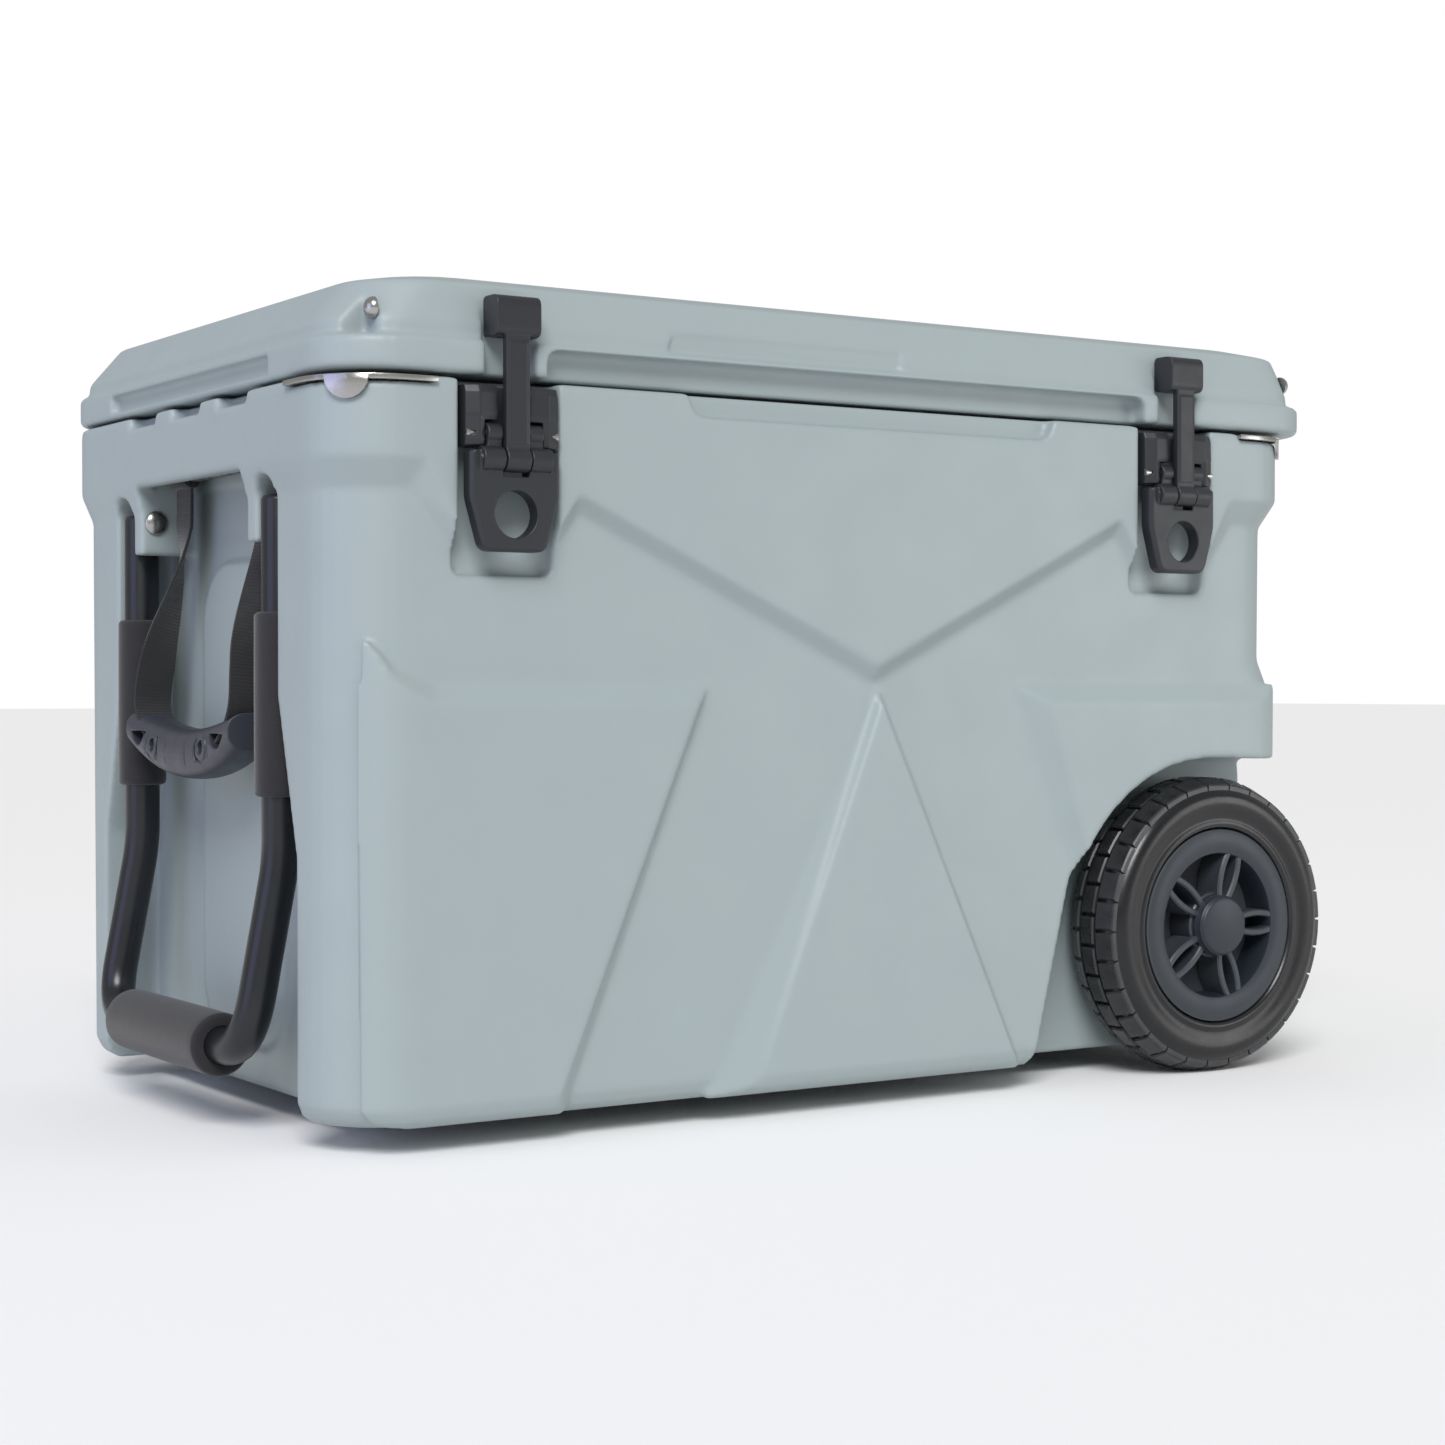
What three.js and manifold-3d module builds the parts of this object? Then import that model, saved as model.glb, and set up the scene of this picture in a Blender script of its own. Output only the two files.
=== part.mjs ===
// Wheeled cooler: a double-walled tub and hinged lid, two rubber latches, two wheels on stub axles,
// a folding tow handle and a webbing carry handle. Millimetres, +Z up, +X towards the wheels,
// -Y towards the latches. The origin is the bottom centre of the whole cooler.
import * as THREE from 'three';
import { mergeVertices } from 'three/addons/utils/BufferGeometryUtils.js';
import Module from 'manifold-3d';

const wasm = await Module();
wasm.setup();

// ---------------------------------------------------------------- driving dimensions
const GAP = 0.35; // clearance kept between neighbouring pieces
const CORNER_STEPS = 8; // facets in each rounded plan corner
const ROUND_SIDES = 14;

// overall
const LENGTH = 748; // lid, handle end to wheel end
const WIDTH = 448; // lid, front to back
const RIM_TOP = 435; // top of the tub above the ground
const TUB_BOTTOM = 15;
const LID_TOP = 499;
const CORNER_RADIUS = 45;

// tub
const RIM_SETBACK_LEFT = 0; // rim face behind the lid edge at the handle end
const RIM_SETBACK_RIGHT = 18.5; // the same at the wheel end
const RIM_SETBACK_SIDE = 2.5; // the same at front and back
const RIM_DEPTH = 45; // height of the thick rim band
const RIM_CHAMFER = 18;
const WALL_SETBACK_LEFT = 5;
const WALL_SETBACK_RIGHT = 8.5;
const PANEL_DEPTH = 8; // how far the raised panels stand out of the wall
const PANEL_CHAMFER = 12;
const SIDE_DRAFT = 3;
const SKIN = 5;
const LINER = 4;
const CAVITY_WALL_LEFT = 80; // handle end wall, outer wall to liner
const CAVITY_WALL_RIGHT = 36;
const CAVITY_WALL_SIDE = 38;
const CAVITY_RADIUS = 30;
const CAVITY_FLOOR = 50;
const STEP_HEIGHT = 238; // floor of the shallow part over the wheel wells
const STEP_SETBACK = 25; // liner step in front of the wheel wells
const FILL_HOLE_RADIUS = 5;
const FOOT_ROUND = [10, 4, 12]; // bottom edge: inset, then the heights where it ends
const BULGE_OUT = 9; // swell of the wheel end above the wheels
const BULGE_RUN = 120; // its length along the wall
const BULGE_HEIGHTS = [53, 71]; // where it starts and ends to fade, above the well
const RIM_SCOOP = [138, 140, 13.5, 9]; // finger scoop under the lid: left, right, drop and depth
const VENT_SPACING = 73; // notches in the handle end's rim
const VENT_HALF = 23;

// V pattern: from the point of the V, or outwards from the nearest latch
const PATTERN_SHIFT = 7; // point of the V, beyond the middle between the latches
const V_DROP = 159.5; // below the rim top
const SHIELD_EDGE = 51; // panel edge outside a latch, at the rim
const SHIELD_FOOT = 29; // outer and inner foot under a latch
const SHIELD_HEEL = 30;
const SHIELD_SHOULDER = 46; // inner shoulder, where the V starts
const SHIELD_DROPS = [85, 61.5]; // foot and shoulder below the rim top
const LEDGE_HEIGHT = 252; // top of the lower panels
const LEDGE_SWEEP = [[-25, 45], [10, 32], [33, 10], [58, 0]]; // its rise at the handle end, from the wall
const LEFT_PANEL = [128, 27]; // right edge from the left latch, at the top and at the bottom
const TRIANGLE_TIP = [4, 10]; // its tip: beyond the V's point, and chamfer height
const TRIANGLE_FOOT = [122, 124]; // left and right of the V's point
const TRIANGLE_FACE = [92, 118];
const RIGHT_PANEL = [137, 188, 110]; // left edge at the top and at the bottom, and the bottom's height
const PATTERN_OVERRUN = 5; // panels reach this far below the tub before they are trimmed

// wheels
const WHEEL_RADIUS = 100;
const WHEEL_WIDTH = 48;
const WHEEL_INSET = 75; // wheel centre in from the wheel end rim face
const RIM_RADIUS = 64; // plastic hub, outer radius
const SPOKE_RADIUS = 48; // outer end of the spoke windows
const BOSS_RADIUS = 21;
const BUSH_RADIUS = 9.5;
const AXLE_RADIUS = 6;
const AXLE_END_GAP = 5; // foam left between a stub axle's end and the liner
const SPOKES = 5; // pairs of bars
const SPOKE_HALF = 3.5; // half a bar's width
const SPOKE_OFFSET = 7.5; // bar's middle from the pair's middle
const SPOKE_PHASE = 18; // degrees from straight up to the first spoke
const WELL_CLEARANCE = 26; // arch radius beyond the tyre
const WELL_DROP = 12; // arch centre below the wheel centre
const WELL_BACK = 9; // arch centre behind the wheel centre
const WELL_SIDE_GAP = 8; // tyre to inner wall of the well
const WELL_START = 158; // degrees where the arch meets its straight front edge
const WELL_LEAN = 34; // run of that edge down to the ground
const WELL_RISE = 10; // flat top of the well above the arch centre's radius
const BUMPER_OUT = -4; // block between the wheels, beyond the rim face
const BUMPER_HEIGHT = 200;
const BUMPER_SLOPE = 38; // height of the slope above it
const BUMPER_CHAMFER = 8;

// handle end pocket
const POCKET_DEPTH = 37;
const POCKET_TOP_DROP = 45.5; // below the rim top
const LUG_INNER = 86;
const LUG_WIDTH = 14.5;
const LUG_HEIGHT = 42.5;
const JAMB_BEND_DROP = 178; // below the rim top, where the jambs start to spread
const JAMB_SPREAD_DROP = 269;
const JAMB_SPREAD = 26;
const BOLT_DROP = 67.5; // pivot bolt below the rim top
const BOLT_RADIUS = 4;
const BOLT_HEAD_RADIUS = 8;
const BOLT_REACH = 16; // how far a bolt enters the jamb
const FILL_OFFSET = -60; // fill hole, from the V's point

// tow handle
const TUBE_RADIUS = 11;
const ARM_GAP = 0.6; // lug to arm
const ARM_OFFSET = 10; // arm axis behind the wall face
const KICK_OUT = 21; // cross bar further out than the arms
const KICK_DROP = 207; // bend below the pivot
const CROSS_BAR_HEIGHT = 51;
const BEND_RADIUS = 34;
const KICK_RADIUS = 150; // of the slow bend in each arm
const ARM_GRIP_RADIUS = 15.5;
const ARM_GRIP_TOP_DROP = 62;
const ARM_GRIP_LENGTH = 107;
const CROSS_GRIP_RADIUS = 19;
const CROSS_GRIP_LENGTH = 148;

// carry handle
const ROD_RADIUS = 3;
const ROD_DROP = 40; // webbing rod below the rim top
const ROD_DEPTH = 22; // webbing rod behind the wall face
const ROD_SEAT = 12; // how far its ends enter the lugs
const WEB_WIDTH = 25;
const WEB_THICK = 3;
const TWIST_START = 30; // below the rod, where the webbing starts to turn
const TWIST_LENGTH = 90;
const WEB_SPREAD = 66; // strand centre from the middle, at the rod
const GRIP_SPREAD = 77; // the same where it meets the grip
const GRIP_DROP = 214; // grip centre line below the rim top, at its lowest
const GRIP_RISE = 15;
const GRIP_SECTION = 31;
const GRIP_HALF = 84;
const GRIP_FORWARD = 4; // grip centre behind the wall face

// latches
const LATCH_FROM_LEFT = 107; // latch centre from the handle end of the lid
const LATCH_FROM_RIGHT = 137;
const LATCH_WIDTH = 59;
const RECESS_MARGIN = 2.5;
const RECESS_DEPTH = 16;
const RECESS_DROP = 110;
const BASE_DEPTH = 9;
const BASE_TOP_DROP = 4;
const BASE_PIN_DROP = 31;
const BASE_PIN_RADIUS = 2.5;
const STRAP_PIN_DROP = 14.5; // strap pin below the base pin
const STRAP_PIN_OUT = 4;
const STRAP_PIN_RADIUS = 3.4;
const STRAP_PIN_HALF = 22.5;
const EYE_RADIUS = 6.6;
const STRAP_WIDTH = 15.4;
const STRAP_THICK = 5;
const HOOK_WIDTH = 28;
const HOOK_RADIUS = 8.5;
const HOOK_RISE = 69; // hook bar above the base pin
const HOLE_DROP = 45; // lever hole below the base pin
const HOLE_RADIUS = 13.7;
const LEVER_LENGTH = 66;
const LEVER_TIP_WIDTH = 44;
const LEVER_THICK = 10;
const EAR_WIDTH = 4.4;
const SCREW_SPREAD = 21;
const SCREW_DROP = 14; // below the rim top
const SCREW_RADIUS = 2;
const LEVER_TIP_CHAMFER = 6;
const LEVER_SHOULDER = 22; // straight part of the lever's sides

// lid
const FLANGE_BOTTOM = 437;
const FLANGE_HEIGHT = 19;
const PLUG_DEPTH = 12;
const PLUG_GAP = 4;
const GASKET_WIDTH = 8;
const GASKET_HEIGHT = 5;
const GASKET_OFFSET = 6;
const HOOK_POCKET_DEPTH = 9;

const LID_RINGS = [[9, 6, 6, 5], [33, 25, 16, 12], [38, 46, 40, 28], [43, 170, 170, 90]]; // rise, insets
const CHANNEL = [24, 28, 13]; // groove under the flange: from the latches, and depth
const BADGE_TOP = [148, 19]; // plain pad on the front: left and right of the V's point, at its top
const BADGE_FOOT = 154;
const BADGE_HEIGHTS = [2, 15]; // above the flange
const END_SLOT_HALF = 128; // groove in the handle end
const LID_NOTCH = [29, 24]; // notch over each front corner: along X and Y
const STUD_PLACE = [15, 15]; // dome stud from the lid's front and above the flange
const STUD_RADIUS = 6.5;
const LID_PANEL_INSETS = [190, 105]; // flat panel on top, from the ends and sides
const LID_PANEL_DEPTH = 1.5;

// corner plates
const PLATE_OUT = 2.5; // beyond the rim
const PLATE_IN = 14;
const PLATE_THICK = 3;
const PLATE_TAILS = [20, 16]; // straight ends, along Y and X
const TAB_RADIUS = 13;
const TAB_THICK = 2.4;

// hinges
const HINGE_OUT = 9.5; // hinge axis behind the lid edge
const KNUCKLE_RADIUS = 8;
const HINGE_PIN_RADIUS = 3;
const HINGE_SPACING = 380;
const KNUCKLE_LENGTH = 22;

// drain
const DRAIN_HEIGHT = 73;
const DRAIN_FROM_STEP = 71.5; // drain in from the side of the bay between the wheels
const DRAIN_RADIUS = 13;
const DRAIN_BORE = 9;
const DRAIN_FLANGE = 20;
const WING_HALF = 13; // grip of the drain plug
const WING_THICK = 5;

// feet
const FOOT_LENGTH = 50;
const FOOT_WIDTH = 60;
const FOOT_SPREAD = 80;
const FOOT_INSET = 128;

// ---------------------------------------------------------------- derived stations
const LID_END = LENGTH / 2;
const LID_SIDE = WIDTH / 2;
const RIM_LEFT = -LID_END + RIM_SETBACK_LEFT;
const RIM_RIGHT = LID_END - RIM_SETBACK_RIGHT;
const RIM_SIDE = LID_SIDE - RIM_SETBACK_SIDE;
const WALL_LEFT = RIM_LEFT + WALL_SETBACK_LEFT;
const WALL_RIGHT = RIM_RIGHT - WALL_SETBACK_RIGHT;
const WALL_SIDE = RIM_SIDE - PANEL_DEPTH;
const SHOULDER = RIM_TOP - RIM_DEPTH;
const WHEEL_X = RIM_RIGHT - WHEEL_INSET;
const WHEEL_INNER = RIM_SIDE - WHEEL_WIDTH;
const WELL_INNER = WHEEL_INNER - WELL_SIDE_GAP;
const WELL_TOP = 2 * WHEEL_RADIUS + WELL_CLEARANCE - 2 * WELL_DROP + WELL_RISE;
const BUMPER_RIGHT = RIM_RIGHT + BUMPER_OUT;
const POCKET_BACK = WALL_LEFT + POCKET_DEPTH;
const CAVITY_LEFT = WALL_LEFT + CAVITY_WALL_LEFT;
const CAVITY_RIGHT = WALL_RIGHT - CAVITY_WALL_RIGHT;
const CAVITY_SIDE = WALL_SIDE - CAVITY_WALL_SIDE;
const STEP_X = WHEEL_X - WHEEL_RADIUS - WELL_CLEARANCE - WELL_BACK - SKIN - LINER - STEP_SETBACK;
const STEP_SIDE = WELL_INNER - SKIN - LINER - STEP_SETBACK;
const AXLE_END = STEP_SIDE + LINER + AXLE_END_GAP;
const DRAIN_SIDE = DRAIN_FROM_STEP - STEP_SIDE;
const LATCHES = { left: -LID_END + LATCH_FROM_LEFT, right: LID_END - LATCH_FROM_RIGHT };
const PATTERN_X = (LATCHES.left + LATCHES.right) / 2 + PATTERN_SHIFT;
const ARM_Y = LUG_INNER + LUG_WIDTH + ARM_GAP + TUBE_RADIUS;
const ARM_X = WALL_LEFT + ARM_OFFSET;
const BOLT_Z = RIM_TOP - BOLT_DROP;
const ROD_X = WALL_LEFT + ROD_DEPTH;
const ROD_Z = RIM_TOP - ROD_DROP;
const JAMB_INNER = Math.max(ARM_Y + TUBE_RADIUS + 5, ARM_Y + ARM_GRIP_RADIUS + 1.5);
const BASE_PIN_Z = RIM_TOP - BASE_PIN_DROP;
const BASE_PIN_Y = -RIM_SIDE - 2;
const FLANGE_TOP = FLANGE_BOTTOM + FLANGE_HEIGHT;
const HINGE_Y = LID_SIDE + HINGE_OUT;
const HINGE_Z = (RIM_TOP + FLANGE_BOTTOM) / 2;

// ---------------------------------------------------------------- finishes
const finish = (color, roughness, metalness = 0) => ({ color, roughness, metalness });
const BODY_PLASTIC = finish('#a3afae', 0.62);
const FOAM = finish('#e8dcb4', 0.95);
const DARK_PLASTIC = finish('#33343a', 0.55);
const HUB_PLASTIC = finish('#2b3038', 0.5);
const RUBBER = finish('#1c1d20', 0.8);
const LATCH_RUBBER = finish('#3a3c41', 0.6);
const GRIP_FOAM = finish('#242529', 0.9);
const WEBBING = finish('#141517', 0.9);
const STEEL = finish('#c3c6ca', 0.3, 1);
const BLACK_TUBE = finish('#1e2024', 0.4);

// ---------------------------------------------------------------- geometry helpers

/** Turn a closed three.js geometry into a solid that can be joined and cut, with its faces outwards. */
function solidOf(geometry) {
  const bare = new THREE.BufferGeometry();
  bare.setAttribute('position', geometry.getAttribute('position'));
  bare.setIndex(geometry.getIndex());
  const merged = mergeVertices(bare, 1e-3);
  const index = merged.getIndex().array;
  const position = merged.getAttribute('position');
  const [p, q, r] = [new THREE.Vector3(), new THREE.Vector3(), new THREE.Vector3()];
  const triangles = [];
  let volume = 0;
  for (let i = 0; i < index.length; i += 3) {
    const [a, b, c] = [index[i], index[i + 1], index[i + 2]];
    if (a === b || b === c || c === a) continue;
    triangles.push(a, b, c);
    q.fromBufferAttribute(position, b);
    r.fromBufferAttribute(position, c);
    volume += p.fromBufferAttribute(position, a).dot(q.cross(r));
  }
  return new wasm.Manifold(new wasm.Mesh({
    numProp: 3,
    vertProperties: Float32Array.from(position.array),
    triVerts: Uint32Array.from(volume > 0 ? triangles : triangles.reverse()),
  }));
}

/** Turn a solid back into a three.js geometry. */
function geometryOf(solid) {
  const mesh = solid.getMesh();
  const geometry = new THREE.BufferGeometry();
  geometry.setAttribute('position', new THREE.BufferAttribute(mesh.vertProperties, 3));
  geometry.setIndex(new THREE.BufferAttribute(mesh.triVerts, 1));
  geometry.computeVertexNormals();
  return geometry;
}

const join = (...solids) => solids.reduce((sum, solid) => sum.add(solid));
const cut = (solid, ...tools) => tools.reduce((rest, tool) => rest.subtract(tool), solid);

/** A box between two corners. */
function box(x0, x1, y0, y1, z0, z1) {
  const geometry = new THREE.BoxGeometry(x1 - x0, y1 - y0, z1 - z0);
  return solidOf(geometry.translate((x0 + x1) / 2, (y0 + y1) / 2, (z0 + z1) / 2));
}

/** Round rods along X, Y and Z. */
function rodX(x0, x1, y, z, radius, sides = ROUND_SIDES) {
  const geometry = new THREE.CylinderGeometry(radius, radius, x1 - x0, sides).rotateZ(Math.PI / 2);
  return solidOf(geometry.translate((x0 + x1) / 2, y, z));
}

function rodY(y0, y1, x, z, radius, sides = ROUND_SIDES) {
  const geometry = new THREE.CylinderGeometry(radius, radius, y1 - y0, sides);
  return solidOf(geometry.translate(x, (y0 + y1) / 2, z));
}

function rodZ(z0, z1, x, y, radius, sides = ROUND_SIDES) {
  const geometry = new THREE.CylinderGeometry(radius, radius, z1 - z0, sides).rotateX(Math.PI / 2);
  return solidOf(geometry.translate(x, y, (z0 + z1) / 2));
}

function sphere(x, y, z, radius) {
  return solidOf(new THREE.SphereGeometry(radius, 12, 8).translate(x, y, z));
}

/** A shape from a list of 2-D points. */
const outline = (points) => new THREE.Shape(points.map(([u, v]) => new THREE.Vector2(u, v)));

const EXTRUDE = { bevelEnabled: false, curveSegments: 4 };

/** Outlines drawn in XY, XZ and YZ, extruded along the axis left over. */
function prismZ(shape, z0, z1) {
  const geometry = new THREE.ExtrudeGeometry(shape, { ...EXTRUDE, depth: z1 - z0 });
  return solidOf(geometry.translate(0, 0, z0));
}

function prismY(shape, y0, y1) {
  const geometry = new THREE.ExtrudeGeometry(shape, { ...EXTRUDE, depth: y1 - y0 });
  return solidOf(geometry.rotateX(Math.PI / 2).translate(0, y1, 0));
}

function prismX(shape, x0, x1) {
  const geometry = new THREE.ExtrudeGeometry(shape, { ...EXTRUDE, depth: x1 - x0 });
  const axes = [new THREE.Vector3(0, 1, 0), new THREE.Vector3(0, 0, 1), new THREE.Vector3(1, 0, 0)];
  return solidOf(geometry.applyMatrix4(new THREE.Matrix4().makeBasis(...axes)).translate(x0, 0, 0));
}

/** A rounded rectangle as a shape. */
function roundedShape(u0, u1, v0, v1, radius) {
  const shape = new THREE.Shape();
  shape.absarc(u1 - radius, v1 - radius, radius, 0, Math.PI / 2);
  shape.absarc(u0 + radius, v1 - radius, radius, Math.PI / 2, Math.PI);
  shape.absarc(u0 + radius, v0 + radius, radius, Math.PI, 1.5 * Math.PI);
  shape.absarc(u1 - radius, v0 + radius, radius, 1.5 * Math.PI, 2 * Math.PI);
  return shape;
}

/** A level rounded rectangle as a ring of points. */
function roundedRing(x0, x1, side, radius, z) {
  const centres = [[x1 - radius, side - radius], [x0 + radius, side - radius],
    [x0 + radius, radius - side], [x1 - radius, radius - side]];
  return centres.flatMap(([x, y], quarter) => Array.from({ length: CORNER_STEPS + 1 }, (_, step) => {
    const angle = (quarter + step / CORNER_STEPS) * Math.PI / 2;
    return new THREE.Vector3(x + radius * Math.cos(angle), y + radius * Math.sin(angle), z);
  }));
}

/** Skin a stack of rings that have the same number of points, and close both ends. */
function loft(rings, capPlane = ['x', 'y']) {
  const count = rings[0].length;
  const points = rings.flat();
  const faces = [];
  const flat = rings[0].map((point) => new THREE.Vector2(point[capPlane[0]], point[capPlane[1]]));
  for (const [a, b, c] of THREE.ShapeUtils.triangulateShape(flat, [])) {
    const last = (rings.length - 1) * count;
    faces.push([a, c, b], [a + last, b + last, c + last]);
  }
  const ccw = THREE.ShapeUtils.area(flat) > 0;
  for (let ring = 0; ring < rings.length - 1; ring += 1) {
    for (let i = 0; i < count; i += 1) {
      const [a, b] = [ring * count + i, ring * count + (i + 1) % count];
      const [c, d] = [a + count, b + count];
      faces.push(...(ccw ? [[a, b, d], [a, d, c]] : [[b, a, d], [d, a, c]]));
    }
  }
  const geometry = new THREE.BufferGeometry().setFromPoints(points);
  geometry.setIndex(faces.flat());
  return solidOf(geometry);
}

/** A turned piece about the Y axis, from a closed profile of [radius, y] points. */
function turnedY(profile, sides) {
  const points = profile.map(([radius, y]) => new THREE.Vector2(radius, y));
  return solidOf(new THREE.LatheGeometry([...points, points[0]], sides));
}

const meshes = [];

/** Add one named piece. A solid is placed where it was drawn, or moved by the given offset. */
function piece(name, solid, look, place = [0, 0, 0]) {
  const material = new THREE.MeshStandardMaterial(look);
  const mesh = new THREE.Mesh(geometryOf(solid), material);
  mesh.name = name;
  mesh.position.set(...place);
  meshes.push(mesh);
  return mesh;
}

// ---------------------------------------------------------------- tub

/** Depth of the plain wall and of the raised panels at a height: both lean in towards the bottom. */
const wallAt = (z) => WALL_SIDE - SIDE_DRAFT * (SHOULDER - z) / (SHOULDER - TUB_BOTTOM);
const panelAt = (z) => wallAt(z) + PANEL_DEPTH;

/** A raised panel on the front: its foot outline on the wall and its smaller face outline. */
function raisedPanel(foot, face) {
  const ring = (points, depth) => points.map(([x, z]) => new THREE.Vector3(x, -depth(z), z));
  const root = ring(foot, (z) => wallAt(z) - SKIN);
  return loft([root, ring(foot, wallAt), ring(face, panelAt)], ['x', 'z']);
}

/** Outline of the upper panel, which hangs from the rim round both latches down to the V's point. */
function upperOutline(grow) {
  const [footDrop, shoulderDrop] = SHIELD_DROPS;
  const shield = (x, side) => [
    [x + side * (SHIELD_EDGE + grow), SHOULDER + PANEL_CHAMFER],
    [x + side * (SHIELD_EDGE + grow), SHOULDER - grow],
    [x + side * (SHIELD_FOOT + grow / 3), RIM_TOP - footDrop - grow],
    [x - side * (SHIELD_HEEL + grow / 6), RIM_TOP - footDrop - grow],
    [x - side * (SHIELD_SHOULDER + grow / 6), RIM_TOP - shoulderDrop - grow],
  ];
  return [
    ...shield(LATCHES.left, -1),
    [PATTERN_X, RIM_TOP - V_DROP - grow],
    ...shield(LATCHES.right, 1).reverse(),
  ];
}

/** Outline of the lower panel at the handle end. */
function leftOutline(grow) {
  const foot = TUB_BOTTOM - PATTERN_OVERRUN;
  const [top, bottom] = LEFT_PANEL;
  const sweep = LEDGE_SWEEP.map(([x, rise]) => [WALL_LEFT + x, LEDGE_HEIGHT + rise + grow]);
  return [
    [sweep[0][0], foot],
    ...sweep,
    [LATCHES.left + top + grow, LEDGE_HEIGHT + grow],
    [LATCHES.left + bottom + grow, foot],
  ];
}

/** Outline of the triangle under the V's point. */
function triangleOutline(tip, [left, right]) {
  const foot = TUB_BOTTOM - PATTERN_OVERRUN;
  return [
    [PATTERN_X + TRIANGLE_TIP[0], LEDGE_HEIGHT + tip],
    [PATTERN_X - left, foot],
    [PATTERN_X + right, foot],
  ];
}

/** Outline of the lower panel at the wheel end. */
function rightOutline(grow) {
  const [top, bottom, foot] = RIGHT_PANEL;
  const end = WALL_RIGHT + CORNER_RADIUS;
  return [
    [PATTERN_X + top - 2 * grow, LEDGE_HEIGHT + grow],
    [end, LEDGE_HEIGHT + grow],
    [end, foot],
    [PATTERN_X + bottom - grow, foot],
  ];
}

/** The four raised panels that make the V pattern. */
function frontPanels() {
  return join(
    raisedPanel(upperOutline(PANEL_CHAMFER), upperOutline(0)),
    raisedPanel(leftOutline(PANEL_CHAMFER), leftOutline(0)),
    raisedPanel(triangleOutline(TRIANGLE_TIP[1], TRIANGLE_FOOT), triangleOutline(0, TRIANGLE_FACE)),
    raisedPanel(rightOutline(PANEL_CHAMFER), rightOutline(0)),
  );
}

/** Outer form of the tub before anything is cut into it. */
function tubOuter() {
  const ring = (z, inset, left, right, side) => (
    roundedRing(left + inset, right - inset, side - inset, CORNER_RADIUS, z));
  const [inset, low, high] = FOOT_ROUND;
  const footSide = wallAt(TUB_BOTTOM);
  const body = loft([
    ring(TUB_BOTTOM, inset, WALL_LEFT, WALL_RIGHT, footSide),
    ring(TUB_BOTTOM + low, inset / 3, WALL_LEFT, WALL_RIGHT, footSide),
    ring(TUB_BOTTOM + high, 0, WALL_LEFT, WALL_RIGHT, wallAt(TUB_BOTTOM + high)),
    ring(SHOULDER - RIM_CHAMFER, 0, WALL_LEFT, WALL_RIGHT, WALL_SIDE),
    ring(SHOULDER, 0, RIM_LEFT, RIM_RIGHT, RIM_SIDE),
    ring(RIM_TOP - 2, 0, RIM_LEFT, RIM_RIGHT, RIM_SIDE),
    ring(RIM_TOP, 2, RIM_LEFT, RIM_RIGHT, RIM_SIDE),
  ]);
  const bulgeRight = WALL_RIGHT + BULGE_OUT;
  const envelope = loft([
    ring(TUB_BOTTOM, inset, WALL_LEFT, bulgeRight, panelAt(TUB_BOTTOM)),
    ring(TUB_BOTTOM + low, inset / 3, WALL_LEFT, bulgeRight, panelAt(TUB_BOTTOM)),
    ring(TUB_BOTTOM + high, 0, WALL_LEFT, bulgeRight, panelAt(TUB_BOTTOM)),
    ring(SHOULDER, 0, WALL_LEFT, bulgeRight, RIM_SIDE),
  ]);
  const bulgeFoot = WELL_TOP - 1;
  const bulgeSide = wallAt(bulgeFoot);
  const [fadeStart, fadeEnd] = BULGE_HEIGHTS;
  const bulge = loft([
    ring(bulgeFoot, 0, WALL_RIGHT - BULGE_RUN, bulgeRight, bulgeSide),
    ring(bulgeFoot + fadeStart, 0, WALL_RIGHT - BULGE_RUN, bulgeRight, bulgeSide),
    ring(bulgeFoot + fadeEnd, 0, WALL_RIGHT - BULGE_RUN, WALL_RIGHT, bulgeSide),
  ]);
  const bumper = prismY(outline([
    [WHEEL_X, TUB_BOTTOM],
    [BUMPER_RIGHT - BUMPER_CHAMFER, TUB_BOTTOM],
    [BUMPER_RIGHT, TUB_BOTTOM + BUMPER_CHAMFER],
    [BUMPER_RIGHT, BUMPER_HEIGHT],
    [BUMPER_RIGHT - BUMPER_CHAMFER, BUMPER_HEIGHT + BUMPER_SLOPE],
    [WHEEL_X, BUMPER_HEIGHT + BUMPER_SLOPE],
  ]), -WELL_INNER, WELL_INNER);
  const panels = frontPanels();
  const back = panels.mirror([0, 1, 0]);
  return join(body, bulge, bumper, join(panels, back).intersect(envelope));
}

/** The well around one front wheel, cut through the side of the tub. */
function wheelWell() {
  const shape = new THREE.Shape();
  const [arcX, arcZ] = [WHEEL_X - WELL_BACK, WHEEL_RADIUS - WELL_DROP];
  const radius = WHEEL_RADIUS + WELL_CLEARANCE;
  const start = THREE.MathUtils.degToRad(WELL_START);
  shape.moveTo(arcX + radius * Math.cos(start) - WELL_LEAN, -5);
  shape.lineTo(arcX + radius * Math.cos(start), arcZ + radius * Math.sin(start));
  shape.absarc(arcX, arcZ, radius, start, Math.PI / 2, true);
  shape.lineTo(LID_END + 60, WELL_TOP - 2);
  shape.lineTo(LID_END + 60, -5);
  return prismY(shape, -LID_SIDE - 30, -WELL_INNER);
}

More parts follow.
